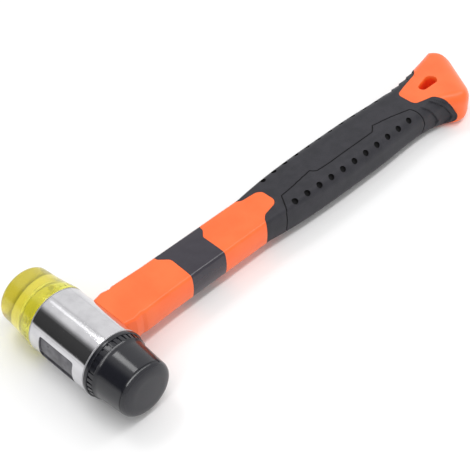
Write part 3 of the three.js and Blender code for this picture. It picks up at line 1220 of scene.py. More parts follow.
@dataclass
class Face:
    """A screw-in striking face: spigot, rim, teeth, shank and domed end, in millimetres.

    Side is 1 for the face that points along Y, and -1 for the other. A face with no hollow is solid.
    """

    shop: Workshop
    name: str
    side: int
    facets: int = 180
    seat: float = 19.62
    spigot: float = 14.1
    spigot_end: float = 12.8
    spigot_edge: float = 0.4
    rim: float = 17.6
    rim_length: float = 1.98
    rim_edge: float = 0.4
    rim_brow: float = 0.3
    tooth_count: int = 36
    tooth_depth: float = 0.55
    tooth_share: float = 0.4
    tooth_length: float = 3.1
    tooth_top: float = 17.0
    tooth_root: float = 16.72
    gap_lift: float = 0.3
    gap_shift: float = 0.08
    flare: float = 2.6
    flare_power: float = 1.8
    shank: float = 15.7
    tip: float = 14.8
    length: float = 25.48
    crown: float = 3.6
    crown_width: float = 6.4
    crown_rise: float = 0.3
    lip: float = 0.25
    land_tilt: float = math.radians(20)
    shelf_tilt: float = math.radians(17)
    hollow: float = 0.0
    hollow_end: float = 33.1
    hollow_corner: float = 6.0
    rib_height: float = 0.12
    rib_pitch: float = 2.4
    rib_step: float = 0.6
    thread_start: float = 1.0
    thread_pitch: float = 2.5
    thread_turns: float = 1.7
    thread_height: float = 0.85
    thread_steps: int = 48

    def outline(self) -> Profile:
        """Profile from the spigot to the middle of the striking end.

        Returns:
            The profile.
        """
        rim_end = self.seat + self.rim_length
        teeth_end = rim_end + self.tooth_length
        crown_start = self.seat + self.length - self.crown
        profile: Profile = [
            (self.spigot - self.spigot_edge, self.spigot_end),
            (self.spigot, self.spigot_end + self.spigot_edge),
            (self.spigot, self.seat),
            (self.rim - self.rim_edge, self.seat),
            (self.rim - 0.3 * self.rim_edge, self.seat + 0.3 * self.rim_edge),
            (self.rim, self.seat + self.rim_edge),
            (self.rim, rim_end - self.rim_brow),
            (self.rim - 0.1, rim_end - 0.08),
            (self.rim - self.rim_brow, rim_end),
            (self.tooth_top, rim_end + 0.05),
            (self.tooth_root, teeth_end),
        ]
        root = self.tooth_root - self.lip
        for t in np.linspace(0.04, 1, 10):
            drop = 1 - (1 - t) ** self.flare_power
            radius = root - (root - self.shank) * drop
            profile.append((radius, teeth_end + 0.06 + self.flare * t))
        profile += self.tip_profile(crown_start)
        return profile

    def tip_profile(self, crown_start: float) -> Profile:
        """The last of the shank, the fine step round the end and the domed striking end.

        Args:
            crown_start: Where the dome starts.

        Returns:
            The end of the profile.
        """
        tip, lip = self.tip, self.lip
        edge = tip - 0.6 * lip
        first = math.atan(math.tan(self.land_tilt) * self.crown / self.crown_width)
        land = np.array([math.sin(self.land_tilt), -math.cos(self.land_tilt)]) * 2.4 * lip
        inset, height = self.crown_width * (1 - math.cos(first)), self.crown * math.sin(first)
        meeting = np.array([edge - inset, crown_start + height])
        shelf = np.array([math.sin(self.shelf_tilt), -math.cos(self.shelf_tilt)]) * 1.8 * lip
        brow = meeting + land
        foot = np.array([tip, crown_start - 2.2 * lip])
        profile: Profile = [
            (tip, crown_start - 2.8 * lip),
            tuple(foot),
            tuple(foot - 0.1 * shelf),
            tuple(foot - shelf),
            (tip - 1.7 * lip, brow[1] - 1.7 * lip),
            (tip - 1.7 * lip, brow[1] - 0.6 * lip),
            (brow[0] - 0.15 * lip, brow[1] - 0.1 * lip),
            tuple(brow),
        ]
        for turn in np.linspace(first, math.pi / 2, 18):
            radius = edge - self.crown_width * (1 - math.cos(turn))
            profile.append((radius, crown_start + self.crown * math.sin(turn)))
        flat = edge - self.crown_width
        for share in (0.75, 0.5, 0.25, 0.0):
            rise = self.crown_rise * (1 - share**2)
            profile.append((flat * share, crown_start + self.crown + rise))
        return profile

    def bore(self) -> Profile:
        """Profile of the hollow, or of a plain spigot end.

        Returns:
            The profile, from the middle outwards.
        """
        if not self.hollow:
            return [(0.0, self.spigot_end)]
        end, wide, soft = self.hollow_end, self.hollow, self.hollow_corner
        profile: Profile = [(0.0, end)]
        for turn in np.linspace(0, math.pi / 2, 8):
            profile.append((wide - soft + soft * math.sin(turn), end - soft + soft * math.cos(turn)))
        step = self.rib_step
        for level in np.arange(end - soft - step, self.spigot_end + step, -step):
            rib = self.rib_height * (1 + math.cos(math.tau * (level - end) / self.rib_pitch)) / 2
            profile.append((wide - rib, float(level)))
        profile.append((wide, self.spigot_end))
        return profile

    def build(
        self, blocks: Recipe, threads: Recipe, finish: bpy.types.Material, body: Body, slot: Slot
    ) -> None:
        """Make and place the face.

        Args:
            blocks: Recipe for the spaces between the teeth.
            threads: Recipe for the screw thread.
            finish: The face's material.
            body: The body that it rides on.
            slot: The record's material slot.
        """
        made = turned(self.name + "_cap", self.bore() + self.outline(), self.facets)
        gaps = blocks.make(
            "gaps",
            Count=self.tooth_count,
            Radius=self.tooth_top + self.gap_lift,
            Width=math.tau * self.tooth_top / self.tooth_count * self.tooth_share,
            Length=self.tooth_length,
            Depth=self.tooth_depth + self.gap_lift,
            Place=self.seat + self.rim_length + self.tooth_length / 2 + self.gap_shift,
            Material=finish,
        )
        carve(made, gaps)
        ridge = threads.make(
            "ridge",
            Radius=self.spigot,
            Height=self.thread_height,
            Pitch=self.thread_pitch,
            Turns=self.thread_turns,
            Steps=self.thread_steps,
            Place=self.spigot_end + self.thread_start,
            Material=finish,
        )
        carve(made, ridge, Cut.JOIN)
        if self.side < 0:
            made.data.transform(Matrix.Rotation(math.pi, 4, "Z"))
        self.shop.hand_over(made, finish, body, slot, self.name)


# Handle


@dataclass(frozen=True)
class Section:
    """One section across the handle, in millimetres."""

    x: float
    y: float
    width: float
    thickness: float
    corner: float
    slant: float
    swell: float


@dataclass(frozen=True)
class HandleShape:
    """Outer form of the handle, in millimetres."""

    bore: float = 14.5
    collar_base: float = 24.0
    collar_width: float = 27.0
    groove_width: float = 25.2
    neck_front_width: float = 26.4
    neck_width: float = 25.1
    neck_thickness: float = 15.6
    neck_corner: float = 2.6
    grip_width: float = 31.3
    grip_thickness: float = 20.6
    grip_corner: float = 7.0
    waist_width: float = 29.1
    waist_thickness: float = 20.0
    butt_width: float = 46.6
    butt_thickness: float = 21.0
    butt_corner: float = 5.9
    collar_peak: float = 21.7
    groove_place: float = 26.3
    neck_front: float = 28.2
    edge_soft: float = 0.25
    neck_start: float = 46.0
    swell_start: float = 114.0
    swell_end: float = 175.0
    thinning_start: float = 192.0
    butt_plane: float = 267.0
    waist_setback: float = 36.0
    flare_power: float = 2.3
    butt_slant: float = math.radians(30)
    butt_depth: float = 11.8
    dome_power: float = 2.7
    dome_width_power: float = 0.36
    dome_thickness_power: float = 0.48
    dome_reach: float = 0.992
    dome_rings: int = 40
    front_rings: int = 6
    neck_rings: int = 13
    grip_ring_step: float = 2.3
    rear_rings: int = 96
    ridge_inset: float = 1.95
    ridge_facet: float = 4.3
    ridge_drop: float = 0.3
    facet_lead: float = 0.12
    facet_step: float = 0.13
    ridge_land: float = 0.5
    ridge_tilt: float = math.radians(26)
    chamfer_inset: float = 0.85
    chamfer_drop: float = 0.95
    side_lead: float = 0.6
    scallop_start: float = 228.1
    scallop_pitch: float = 6.6
    scallop_rise: float = 0.94
    scallop_fall: float = 0.06
    scallop_fade: float = 2.5
    scallop_lean: float = 0.8
    scallop_bend: float = 0.011
    scallop_near_depth: float = 1.0
    scallop_far_depth: float = 0.7
    scallop_margin: float = 9.6
    scallop_low_shift: float = 6.0
    scallop_foot: float = 17.0
    scallop_near_end: float = 243.2
    scallop_far_end: float = 253.4

    @property
    def waist(self) -> float:
        """Where the handle starts to flare into the butt."""
        return self.butt_plane - self.waist_setback

    @staticmethod
    def along(x: float, low: float, high: float) -> float:
        """How far x has gone from low to high, from 0 to 1."""
        return min(max((x - low) / (high - low), 0.0), 1.0)

    def swell(self, x: float) -> float:
        """How far the neck has swelled into the grip."""
        return math.sin(self.along(x, self.swell_start, self.swell_end) * math.pi / 2)

    def thinning(self, x: float) -> float:
        """How far the grip has thinned into the waist."""
        t = self.along(x, self.thinning_start, self.waist)
        return t * t * (3 - 2 * t)

    def flare(self, x: float) -> float:
        """How far the waist has flared into the butt."""
        return max(0.0, (x - self.waist) / self.waist_setback)

    def section(self, x: float) -> Section:
        """The section at a place along the handle.

        Args:
            x: The place.

        Returns:
            The section.
        """
        swell, thin, flare = self.swell(x), self.thinning(x), self.flare(x)
        collar = self.along(x, self.bore, self.collar_peak)
        groove = self.along(x, self.collar_peak, self.groove_place)
        front = self.along(x, self.groove_place, self.neck_front)
        neck = self.along(x, self.neck_front, self.neck_start)
        width = (
            self.collar_base
            + (self.collar_width - self.collar_base) * collar
            + (self.groove_width - self.collar_width) * groove
            + (self.neck_front_width - self.groove_width) * front
            + (self.neck_width - self.neck_front_width) * neck
            + (self.grip_width - self.neck_width) * swell
            + (self.waist_width - self.grip_width) * thin
            + (self.butt_width - self.waist_width) * flare**self.flare_power
        )
        thickness = (
            self.neck_thickness
            + (self.grip_thickness - self.neck_thickness) * swell
            + (self.waist_thickness - self.grip_thickness) * thin
            + (self.butt_thickness - self.waist_thickness) * flare
        )
        corner = (
            self.neck_corner
            + (self.grip_corner - self.neck_corner) * swell
            + (self.butt_corner - self.grip_corner) * flare
        )
        return Section(x, 0.0, width, thickness, corner, self.butt_slant * flare, swell)

    def sections(self) -> list[Section]:
        """Sections along the handle, then through the domed butt.

        Returns:
            The sections in order.
        """
        soft = self.edge_soft
        places = [self.bore / 2, self.bore, (self.bore + self.collar_peak) / 2]
        for edge in (self.collar_peak, self.groove_place, self.neck_front):
            places += [edge - soft, edge + soft]
        places += list(np.linspace(self.neck_front + 2, self.neck_start, self.front_rings))
        places += list(np.linspace(self.neck_start, self.swell_start, self.neck_rings)[1:])
        places += list(np.arange(self.swell_start, self.scallop_start, self.grip_ring_step)[1:])
        places += list(np.linspace(self.scallop_start, self.butt_plane, self.rear_rings))
        made = [self.section(float(x)) for x in places]
        for i in range(1, self.dome_rings + 1):
            depth = math.sin(self.dome_reach * i / self.dome_rings * math.pi / 2)
            fullness = 1 - depth**self.dome_power
            made.append(
                Section(
                    self.butt_plane + self.butt_depth * depth * math.cos(self.butt_slant),
                    -self.butt_depth * depth * math.sin(self.butt_slant),
                    self.butt_width * fullness**self.dome_width_power,
                    self.butt_thickness * fullness**self.dome_thickness_power,
                    self.butt_corner * fullness**self.dome_width_power,
                    self.butt_slant,
                    1.0,
                )
            )
        return made

    def edged_quarter(self, wide: float, high: float) -> np.ndarray:
        """A quarter of the neck's section, from its top to its side: facet, ridge, chamfer and side.

        Args:
            wide: Half the section's width.
            high: Half its thickness.

        Returns:
            The points of the quarter.
        """
        facet = wide - self.ridge_facet
        ridge = np.array([wide - self.ridge_inset, high - self.ridge_drop])
        lower = np.array([wide - self.chamfer_inset, high - self.ridge_drop - self.chamfer_drop])
        flat = [(facet * t, high) for t in (0, 0.35, 0.7, 0.97)]
        flat.append((facet + self.facet_lead, high - self.facet_step))
        flat.append((ridge[0] - 0.9, high - 0.5 * self.ridge_drop))
        land = np.array([-self.ridge_land, self.ridge_land * math.tan(self.ridge_tilt)])
        start = ridge + land / 2
        close = ridge * 2 - start
        middle = (close + lower) / 2
        side_start = np.array([lower[0] + 0.12, lower[1] - self.side_lead])
        curve = [start, (start + ridge) / 2, ridge, close]
        curve += [close + (middle - close) * t for t in (0.12, 0.5, 1)]
        curve += [bend(middle, lower, side_start, t) for t in np.linspace(0, 1, 8)[1:]]
        levels = np.linspace(side_start[1], 0, 6)[1:]
        bulge = wide - side_start[0]
        side = [(wide - bulge * (level / side_start[1]) ** 2, level) for level in levels]
        return np.array([*flat, *curve, *side])

    @staticmethod
    def round_quarter(wide: float, high: float, corner: float) -> np.ndarray:
        """A quarter of a rounded section, with as many points as an edged one.

        Args:
            wide: Half the section's width.
            high: Half its thickness.
            corner: Radius of its corner.

        Returns:
            The points of the quarter.
        """
        corner = min(corner, 0.98 * wide, 0.98 * high)
        across, up = wide - corner, high - corner
        flat = [(across * t, high) for t in np.linspace(0, 1, 7)[:-1]]
        turns = np.linspace(0, math.pi / 2, 14)
        curve = [(across + corner * math.sin(a), up + corner * math.cos(a)) for a in turns]
        side = [(wide, up * t) for t in np.linspace(1, 0, 6)[1:]]
        return np.array([*flat, *curve, *side])

    def ring(self, section: Section, sunk: float) -> np.ndarray:
        """Points round one section.

        Args:
            section: The section.
            sunk: How far the form lies under the handle's skin.

        Returns:
            The points in millimetres.
        """
        wide, high = section.width / 2 - sunk, section.thickness / 2 - sunk
        quarter = self.round_quarter(wide, high, max(section.corner - sunk, 0.6))
        if section.swell < 1:
            quarter = quarter * section.swell + self.edged_quarter(wide, high) * (1 - section.swell)
        half = np.concatenate([quarter, (quarter * (1, -1))[-2::-1]])
        flat = np.concatenate([half, (half * (-1, 1))[-2:0:-1]])
        if not sunk:
            flat = self.scalloped(flat, section)
        across, up = flat.T
        x = section.x + across * math.sin(section.slant)
        y = section.y + across * math.cos(section.slant)
        return np.stack([x, y, up], axis=1)

    def scalloped(self, flat: np.ndarray, section: Section) -> np.ndarray:
        """Sink the leaning scallops at the rear of the grip into a section's sides.

        Args:
            flat: The points round the section, across and up.
            section: The section.

        Returns:
            The points with the scallops in them.
        """
        if not self.scallop_start - 1 < section.x < self.butt_plane - 0.01:
            return flat
        steps = np.linalg.norm(np.diff(flat, axis=0, append=flat[:1]), axis=1)
        run = np.concatenate([[0], np.cumsum(steps)[:-1]])
        run = np.minimum(run, steps.sum() - run)
        low = steps.sum() / 2 - run - self.scallop_margin + self.scallop_low_shift
        drop = np.clip(np.minimum(run - self.scallop_margin, low), 0, None)
        lean = drop * (self.scallop_lean - self.scallop_bend * drop)
        place = section.x + flat[:, 0] * math.sin(section.slant) - lean
        share = np.mod(place - self.scallop_start, self.scallop_pitch) / self.scallop_pitch
        rise, fall = self.scallop_rise, self.scallop_fall
        saw = np.where(share < rise, share / rise, (1 - share) / fall)
        far = flat[:, 0] > 0
        limit = np.where(far, self.scallop_far_end, self.scallop_near_end)
        depth = np.where(far, self.scallop_far_depth, self.scallop_near_depth)
        room = np.minimum(drop, steps.sum() / 2 - run - self.scallop_foot)
        fade = np.clip(room / self.scallop_fade, 0, 1)
        inside = (place > self.scallop_start) & (place < limit)
        tangent = np.roll(flat, -1, axis=0) - np.roll(flat, 1, axis=0)
        outward = unit(np.stack([tangent[:, 1], -tangent[:, 0]], axis=1))
        outward *= np.sign(np.sum(outward * flat, axis=1))[:, None]
        return flat - outward * (depth * saw * fade * inside)[:, None]

    def form(self, name: str, sunk: float = 0.0) -> bpy.types.Object:
        """The handle's outer form, or the same form sunk under its skin."""
        return lofted(name, [self.ring(section, sunk) for section in self.sections()])

    def shoulder(self, x: float, y: float) -> tuple[np.ndarray, np.ndarray]:
        """A point on the rounded shoulder of the grip.

        Args:
            x: Place along the handle.
            y: Place across it.

        Returns:
            The point and its outward direction.
        """
        section = self.section(x)
        flat = section.width / 2 - section.corner
        rise = math.asin(min(max((abs(y) - flat) / section.corner, 0.0), 1.0))
        outward = np.array([0.0, math.copysign(math.sin(rise), y), math.cos(rise)])
        z = section.thickness / 2 - section.corner * (1 - math.cos(rise))
        return np.array([x, y, z]), outward

    def on_skin(self, point: Sequence[float]) -> np.ndarray:
        """The point of the handle's skin, in the section at a point's X, that lies nearest to it.

        Args:
            point: The point.

        Returns:
            The point on the skin.
        """
        ring = self.ring(self.section(point[0]), 0.0)
        after = np.roll(ring, -1, axis=0)
        dense = np.concatenate([ring + (after - ring) * t for t in np.linspace(0, 1, 9)[:-1]])
        return dense[np.argmin(np.linalg.norm(dense - np.array(point), axis=1))]


@dataclass
class Handle:
    """The orange body, the band on the neck and the soft grip, in millimetres."""

    shop: Workshop
    shape: HandleShape = field(default_factory=HandleShape)
    seam: float = 0.12
    band_wall: float = 1.5
    grip_wall: float = 2.2
    wall_gap: float = 0.15
    reach: float = 40.0
    tube_room: float = 17.62
    core: tuple[float, float, float, float] = (14.6, 8.6, -13.0, 231.3)
    band_corner: float = 0.9
    band_line: Line = (
        (54.7, 40), (54.9, 10.8), (55.3, 8.6), (59.5, 4.5), (59.9, 2.7), (59.2, -10.8), (58.8, -40),
        (81.3, -40), (81.6, -10.8), (81.7, 4.0), (85.1, 7.8), (85.8, 11.5), (86.0, 40),
    )
    grip_corner: float = 1.6
    grip_line: Line = (
        (111.1, 40), (111.4, 10.9), (113.9, 9.0), (123.3, 7.6), (125.8, 5.4), (125.8, -3.1),
        (123.6, -5.4), (114.9, -7.0), (112.2, -9.4), (110.8, -12), (110.6, -40),
        (252.6, -40), (252.0, -19), (250.9, -16.6), (249.2, -13.6), (246.2, -9.4), (241.2, -8.2),
        (235.6, -6.6), (234.3, -4.4), (234.3, 4.4), (235.8, 6.3), (242.5, 8.1), (249.9, 9.7),
        (255.5, 11.2), (259.5, 15.0), (262.0, 19.0), (263.0, 40),
    )
    lobe_line: Line = (
        (240, 6.5), (248.5, 9.5), (251.2, 7.0), (253.8, 2.5), (256.2, -2.6), (256.0, -5.8),
        (253.0, -9.0), (248, -12), (240, -12),
    )
    far_lobe_shift: float = 10.2
    lobe_inside: float = 13.0
    hole_front: tuple[float, float, float] = (249.2, 0.0, 2.1)
    hole_rear: tuple[float, float, float] = (257.4, 0.9, 3.1)
    hole_flare: Line = ((12.6, 1.5), (10.5, 0.6), (10.0, 0.34), (9.4, 0.17), (8.6, 0.06), (7.4, 0.0))
    hole_facets: int = 72
    dot_count: int = 11
    dot_start: float = 132.15
    dot_step: float = 8.7
    dot_growth: float = 0.0343
    dot_line: tuple[float, float, float] = (-13.08, 182.0, 0.00062)
    dot_radius: float = 1.8
    dot_depth: float = 1.5
    dot_sides: int = 28
    groove_radius: float = 0.4
    groove_sides: int = 10
    groove_step: float = 1.5
    groove_line: tuple[tuple[float, float, float], ...] = (
        (124.6, -14.4, 0.0), (124.5, -13.2, 6.0), (125.4, -11.5, 7.9), (126.8, -9.2, 8.6),
        (128.6, -6.3, 8.7), (130.1, -3.9, 8.8), (140.7, -3.3, 9.4), (153.4, -2.0, 9.9),
        (154.3, -3.4, 9.9), (156.1, -5.0, 10.0), (166.2, -5.5, 10.2), (199.5, -5.4, 10.3),
        (201.7, -3.7, 10.3), (203.9, -1.8, 10.2), (216.8, -4.1, 10.1), (228.8, -7.3, 10.0),
        (230.8, -11.0, 9.0), (232.8, -14.1, 5.4), (235.2, -14.6, 0.0),
    )

    def region(self, line: Line, gap: float, corner: float) -> bpy.types.Object:
        """An upright prism on a line, with its corners rounded and grown by a gap."""
        return prism("region", inflated(rounded(line, corner), gap), -self.reach, self.reach)

    def grip_region(self, gap: float) -> bpy.types.Object:
        """The room of the grip: its outline from above, and a lobe on each side at the rear.

        Args:
            gap: How much wider than the grip the room is.

        Returns:
            The room.
        """
        made = self.region(self.grip_line, gap, self.grip_corner)
        for side, shift in ((-1, 0.0), (1, self.far_lobe_shift)):
            line = [(x + shift, z) for x, z in self.lobe_line]
            outline = inflated(rounded(line, self.grip_corner), gap)
            low, high = sorted((side * self.lobe_inside, side * self.reach))
            carve(made, prism("lobe", outline, low, high, "Y"), Cut.JOIN)
        return made

    def hang_hole(self) -> bpy.types.Object:
        """The slot through the butt, with a soft rim on both sides.

        Returns:
            The solid that cuts it.
        """
        rounds = self.hole_front, self.hole_rear
        rings = []
        for level, grow in [*self.hole_flare, *((-z, grow) for z, grow in reversed(self.hole_flare))]:
            ring = []
            for angle in np.linspace(0, math.tau, self.hole_facets, endpoint=False):
                way = np.array([math.cos(angle), math.sin(angle)])
                ends = [np.array((x, y)) + way * (radius + grow) for x, y, radius in rounds]
                ring.append((*max(ends, key=lambda end: float(end @ way)), level))
            rings.append(np.array(ring))
        return lofted("hang_hole", rings)

    def body(self, skin: bpy.types.Object) -> bpy.types.Object:
        """The orange moulding with its recesses.

        Args:
            skin: The handle's outer form.

        Returns:
            The moulding.
        """
        made = duplicate(skin)
        made.name = "handle_shell"
        band = self.region(self.band_line, self.seam, self.band_corner)
        carve(made, carve(band, self.shape.form("under_band", self.band_wall + self.wall_gap)))
        grip = self.grip_region(self.seam)
        carve(made, carve(grip, self.shape.form("under_grip", self.grip_wall + self.wall_gap)))
        carve(made, self.hang_hole())
        wide, high, low, end = self.core
        outline = np.array([(low, -wide / 2), (end, -wide / 2), (end, wide / 2), (low, wide / 2)])
        carve(made, prism("core_room", outline, -high / 2, high / 2))
        tube, reach = self.tube_room, self.reach
        room = [(0, -reach), (tube, -reach), (tube, reach), (0, reach)]
        return carve(made, turned("tube_room", room, TUBE_FACETS))

    def band(self, skin: bpy.types.Object) -> bpy.types.Object:
        """The dark band on the neck.

        Args:
            skin: The handle's outer form.

        Returns:
            The band.
        """
        made = self.region(self.band_line, 0.0, self.band_corner)
        made.name = "neck_band_sleeve"
        carve(made, duplicate(skin), Cut.KEEP_COMMON)
        return carve(made, self.shape.form("band_inside", self.band_wall))

    def grip(self, skin: bpy.types.Object, studs: Recipe, grooves: Recipe) -> bpy.types.Object:
        """The soft grip with its rows of dots and the line round the near side's panel.

        Args:
            skin: The handle's outer form.
            studs: Recipe for the rows of dots.
            grooves: Recipe for the line.

        Returns:
            The grip.
        """
        made = self.grip_region(0.0)
        made.name = "grip_sleeve"
        carve(made, duplicate(skin), Cut.KEEP_COMMON)
        carve(made, self.shape.form("grip_inside", self.grip_wall))
        carve(made, self.dots(studs))
        return carve(made, self.groove(grooves))

    def dots(self, studs: Recipe) -> bpy.types.Object:
        """Studs that cut the two rows of blind dots.

        Args:
            studs: Recipe for the studs.

        Returns:
            The studs, as one object.
        """
        across, middle, bow = self.dot_line
        spots = []
        for side in (-1, 1):
            for i in range(self.dot_count):
                place = self.dot_start + i * (self.dot_step + self.dot_growth * i)
                y = -side * (across + bow * (place - middle) ** 2)
                spots.append(self.shape.shoulder(place, y))
        made = solid("dots", [(i, 0, 0) for i in range(len(spots))], [])
        for vertex, (point, _) in zip(made.data.vertices, spots):
            vertex.co = point
        outward = made.data.attributes.new(OUTWARD_ATTRIBUTE, "FLOAT_VECTOR", "POINT")
        ways = np.concatenate([way for _, way in spots])
        outward.data.foreach_set("vector", ways.astype(np.float32))
        return studs.run(
            made,
            Radius=self.dot_radius,
            Depth=self.dot_depth,
            Sides=self.dot_sides,
            Material=self.shop.grip,
        )

    def groove(self, grooves: Recipe) -> bpy.types.Object:
        """The bead that cuts the line round the near side's panel, the same above and below.

        Args:
            grooves: Recipe for the bead.

        Returns:
            The bead.
        """
        upper = np.array(self.groove_line)
        corners = np.concatenate([upper, (upper * (1, 1, -1))[-2:0:-1], upper[:1]])
        dense = [corners[0]]
        for here, there in zip(corners, corners[1:]):
            steps = max(2, int(np.linalg.norm(there - here) / self.groove_step))
            dense += [here + (there - here) * t for t in np.linspace(0, 1, steps + 1)[1:]]
        points = [tuple(self.shape.on_skin(point)) for point in dense[:-1]]
        count = len(points)
        mesh = bpy.data.meshes.new("groove_line")
        mesh.from_pydata(points, [(i, (i + 1) % count) for i in range(count)], [])
        return grooves.run(
            link("groove_line", mesh),
            Radius=self.groove_radius,
            Sides=self.groove_sides,
            Material=self.shop.grip,
        )

    @staticmethod
    def keep_depth(made: bpy.types.Object, skin: BVHTree) -> None:
        """Keep on each point how deep it lies under the handle's skin, in millimetres.

        Args:
            made: The piece.
            skin: The handle's outer form.
        """
        # The orange and grip finishes paint shade into recesses from this depth
        mesh = made.data
        depths = [skin.find_nearest(vertex.co)[3] or 0.0 for vertex in mesh.vertices]
        attribute = mesh.attributes.new(DEPTH_ATTRIBUTE, "FLOAT", "POINT")
        attribute.data.foreach_set("value", np.array(depths, np.float32))

    def build(self, studs: Recipe, grooves: Recipe) -> None:
        """Make and place the handle's pieces.

        Args:
            studs: Recipe for the rows of dots.
            grooves: Recipe for the line round the near side's panel.
        """
        shop = self.shop
        skin = self.shape.form("skin")
        corners = [vertex.co.copy() for vertex in skin.data.vertices]
        tree = BVHTree.FromPolygons(corners, [tuple(face.vertices) for face in skin.data.polygons])
        pieces = (
            (self.body(skin), shop.orange, Slot.ORANGE, "handle_body"),
            (self.band(skin), shop.band, Slot.GRIP, "neck_band"),
            (self.grip(skin, studs, grooves), shop.grip, Slot.GRIP, "grip"),
        )
        discard(skin)
        for made, finish, slot, node in pieces:
            self.keep_depth(made, tree)
            shop.hand_over(made, finish, Body.MALLET, slot, node)


# Studio


@dataclass(frozen=True)
class Viewpoint:
    """The camera, solved from the photograph on the mallet's own axes.

    Depth and sensor are in millimetres, clip is in metres, and the frame is in pixels.
    """

    azimuth: float = math.radians(-44.16)
    elevation: float = math.radians(43.87)
    roll: float = math.radians(-1.47)
    depth: float = 608.5
    head_pixel: tuple[float, float] = (84.29, 340.72)
    focal_pixels: float = 1300.0
    frame_side: float = 470.0
    sensor: float = 36.0
    clip: tuple[float, float] = (0.01, 50.0)

    def build(self, place: Place) -> None:
        """Make the camera and set it as the scene's.

        Args:
            place: Where the mallet lies.
        """
        azimuth, elevation = self.azimuth, self.elevation
        back = Vector(
            (
                math.sin(azimuth) * math.cos(elevation),
                -math.cos(azimuth) * math.cos(elevation),
                math.sin(elevation),
            )
        )
        level = Vector((math.cos(azimuth), math.sin(azimuth), 0))
        rise = back.cross(level)
        right = math.cos(self.roll) * level + math.sin(self.roll) * rise
        up = math.cos(self.roll) * rise - math.sin(self.roll) * level
        across = (self.head_pixel[0] - self.frame_side / 2) * self.depth / self.focal_pixels
        above = (self.frame_side / 2 - self.head_pixel[1]) * self.depth / self.focal_pixels
        spot = self.depth * back - across * right - above * up
        data = bpy.data.cameras.new("camera")
        data.sensor_width = self.sensor
        data.lens = self.sensor * self.focal_pixels / self.frame_side
        data.clip_start, data.clip_end = self.clip
        camera = link("camera", data)
        facing = Matrix((right, up, back)).transposed().to_4x4()
        camera.matrix_world = Matrix.Translation(place.matrix @ spot) @ place.turn @ facing
        bpy.context.scene.camera = camera


@dataclass(frozen=True)
class Strip:
    """A long soft light that faces the head, in metres."""

    name: str
    way: tuple[float, float, float]
    along: tuple[float, float, float]
    size: tuple[float, float]
    brightness: float
    distance: float = 1.1

    def build(self, place: Place) -> None:
        """Make the light.

        Args:
            place: Where the mallet lies.
        """
        way = Vector(self.way).normalized()
        data = bpy.data.lights.new(self.name, "AREA")
        data.shape = "RECTANGLE"
        data.size, data.size_y = self.size
        data.energy = self.brightness * math.pi * data.size * data.size_y
        light = link(self.name, data)
        along = Vector(self.along)
        along = (along - way * way.dot(along)).normalized()
        facing = Matrix((along.cross(way), along, way)).transposed().to_4x4()
        light.matrix_world = Matrix.Translation(place.centre + way * self.distance) @ facing


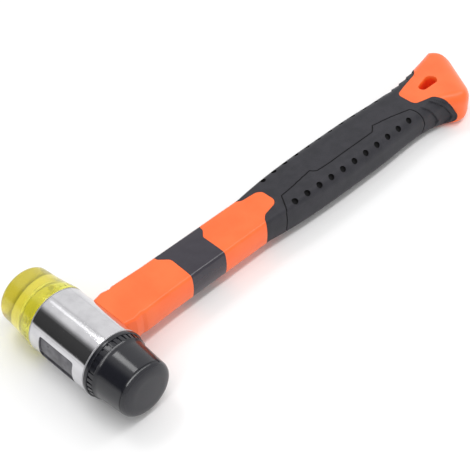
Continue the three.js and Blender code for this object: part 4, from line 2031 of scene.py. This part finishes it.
@dataclass(frozen=True)
class Studio:
    """Pale floor, soft surroundings and three strip lights.

    Surround gives the light all round the head: degrees from the top towards the front, and brightness.
    """

    floor_half: float = 4.0
    surround: Line = (
        (-180, 1.0), (-75, 1.02), (-24, 1.0), (-17, 0.78), (-12, 1.02), (10, 1.0), (18, 0.92),
        (25, 0.55), (31, 0.22), (38, 0.07), (80, 0.05), (83, 0.25), (86, 0.9), (180, 1.0),
    )
    open_side: float = 0.8
    open_blend: tuple[float, float] = (-0.3, 0.1)
    strips: tuple[Strip, ...] = (
        Strip("cone_strip", (0.071, 0.43, 0.90), (0, 1, 0), (0.31, 0.2), 7.0),
        Strip("tube_strip", (0.065, 0.571, 0.829), (0, 1, 0), (0.12, 0.11), 0.5),
        Strip("overhead_strip", (0.0, -0.28, 0.96), (1, 0, 0), (0.14, 3.0), 6.5),
    )

    def floor(self) -> None:
        """The pale floor."""
        half = self.floor_half
        corners = [(-half, -half, 0), (half, -half, 0), (half, half, 0), (-half, half, 0)]
        mesh = bpy.data.meshes.new("floor")
        mesh.from_pydata(corners, [], [(0, 1, 2, 3)])
        mesh.materials.append(FloorFinish().build())
        floor = link("floor", mesh)

    def surroundings(self) -> None:
        """Soft light all round, in strips along the head, with a dark strip on the head's front."""
        world = bpy.data.worlds.new("studio")
        bpy.context.scene.world = world
        world.use_nodes = True
        tree = Tree(world.node_tree)
        way = tree.add("ShaderNodeTexCoord").outputs["Generated"]
        parts = tree.add("ShaderNodeSeparateXYZ", None, {0: way}).outputs
        x, y, z = (Term(tree, parts[letter]) for letter in "XYZ")
        angle = (-x).arctan2(z)
        stops = [((degrees + 180) / 360, (level,) * 3) for degrees, level in self.surround]
        strips = tree.add("ShaderNodeValToRGB", {"stops": stops}, {0: angle / math.tau + 0.5})
        plain = (*(self.open_side,) * 3, 1.0)
        sockets = {0: y.ramp(*self.open_blend), 6: plain, 7: strips.outputs[0]}
        mixed = tree.add("ShaderNodeMix", {"data_type": "RGBA"}, sockets).outputs[2]
        shade = tree.add("ShaderNodeBackground", None, {"Color": mixed}).outputs[0]
        tree.add("ShaderNodeOutputWorld", None, {"Surface": shade})

    def build(self, place: Place) -> None:
        """Make the floor and the lights.

        Args:
            place: Where the mallet lies.
        """
        self.floor()
        self.surroundings()
        for strip in self.strips:
            strip.build(place)
        bpy.context.scene.view_settings.view_transform = "Standard"


def main() -> None:
    """Build the mallet and its studio."""
    logging.basicConfig(level=logging.INFO, format="%(message)s")
    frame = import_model()
    place = Place.from_frame()
    Viewpoint().build(place)
    Studio().build(place)
    shop = Workshop(place)
    blocks, threads = block_ring_recipe(), thread_recipe()
    Head(shop).build()
    Face(shop, "rubber_face", -1).build(blocks, threads, shop.rubber, Body.RUBBER_FACE, Slot.RUBBER)
    Face(
        shop,
        "clear_face",
        1,
        tooth_length=2.9,
        tooth_top=17.4,
        tooth_root=17.1,
        flare=11.0,
        flare_power=1.25,
        tip=15.2,
        length=26.68,
        tooth_depth=0.32,
        lip=0.06,
        hollow=11.5,
    ).build(blocks, threads, shop.yellow, Body.CLEAR_FACE, Slot.YELLOW)
    Handle(shop).build(stud_recipe(), groove_recipe())
    core = frame["nodes"]["handle_core"]
    core.data.materials.clear()
    core.data.materials.append(shop.fibre)
    LOG.info("handle_core: %d faces, as the frame has them", len(core.data.polygons))


if __name__ == "__main__":
    main()
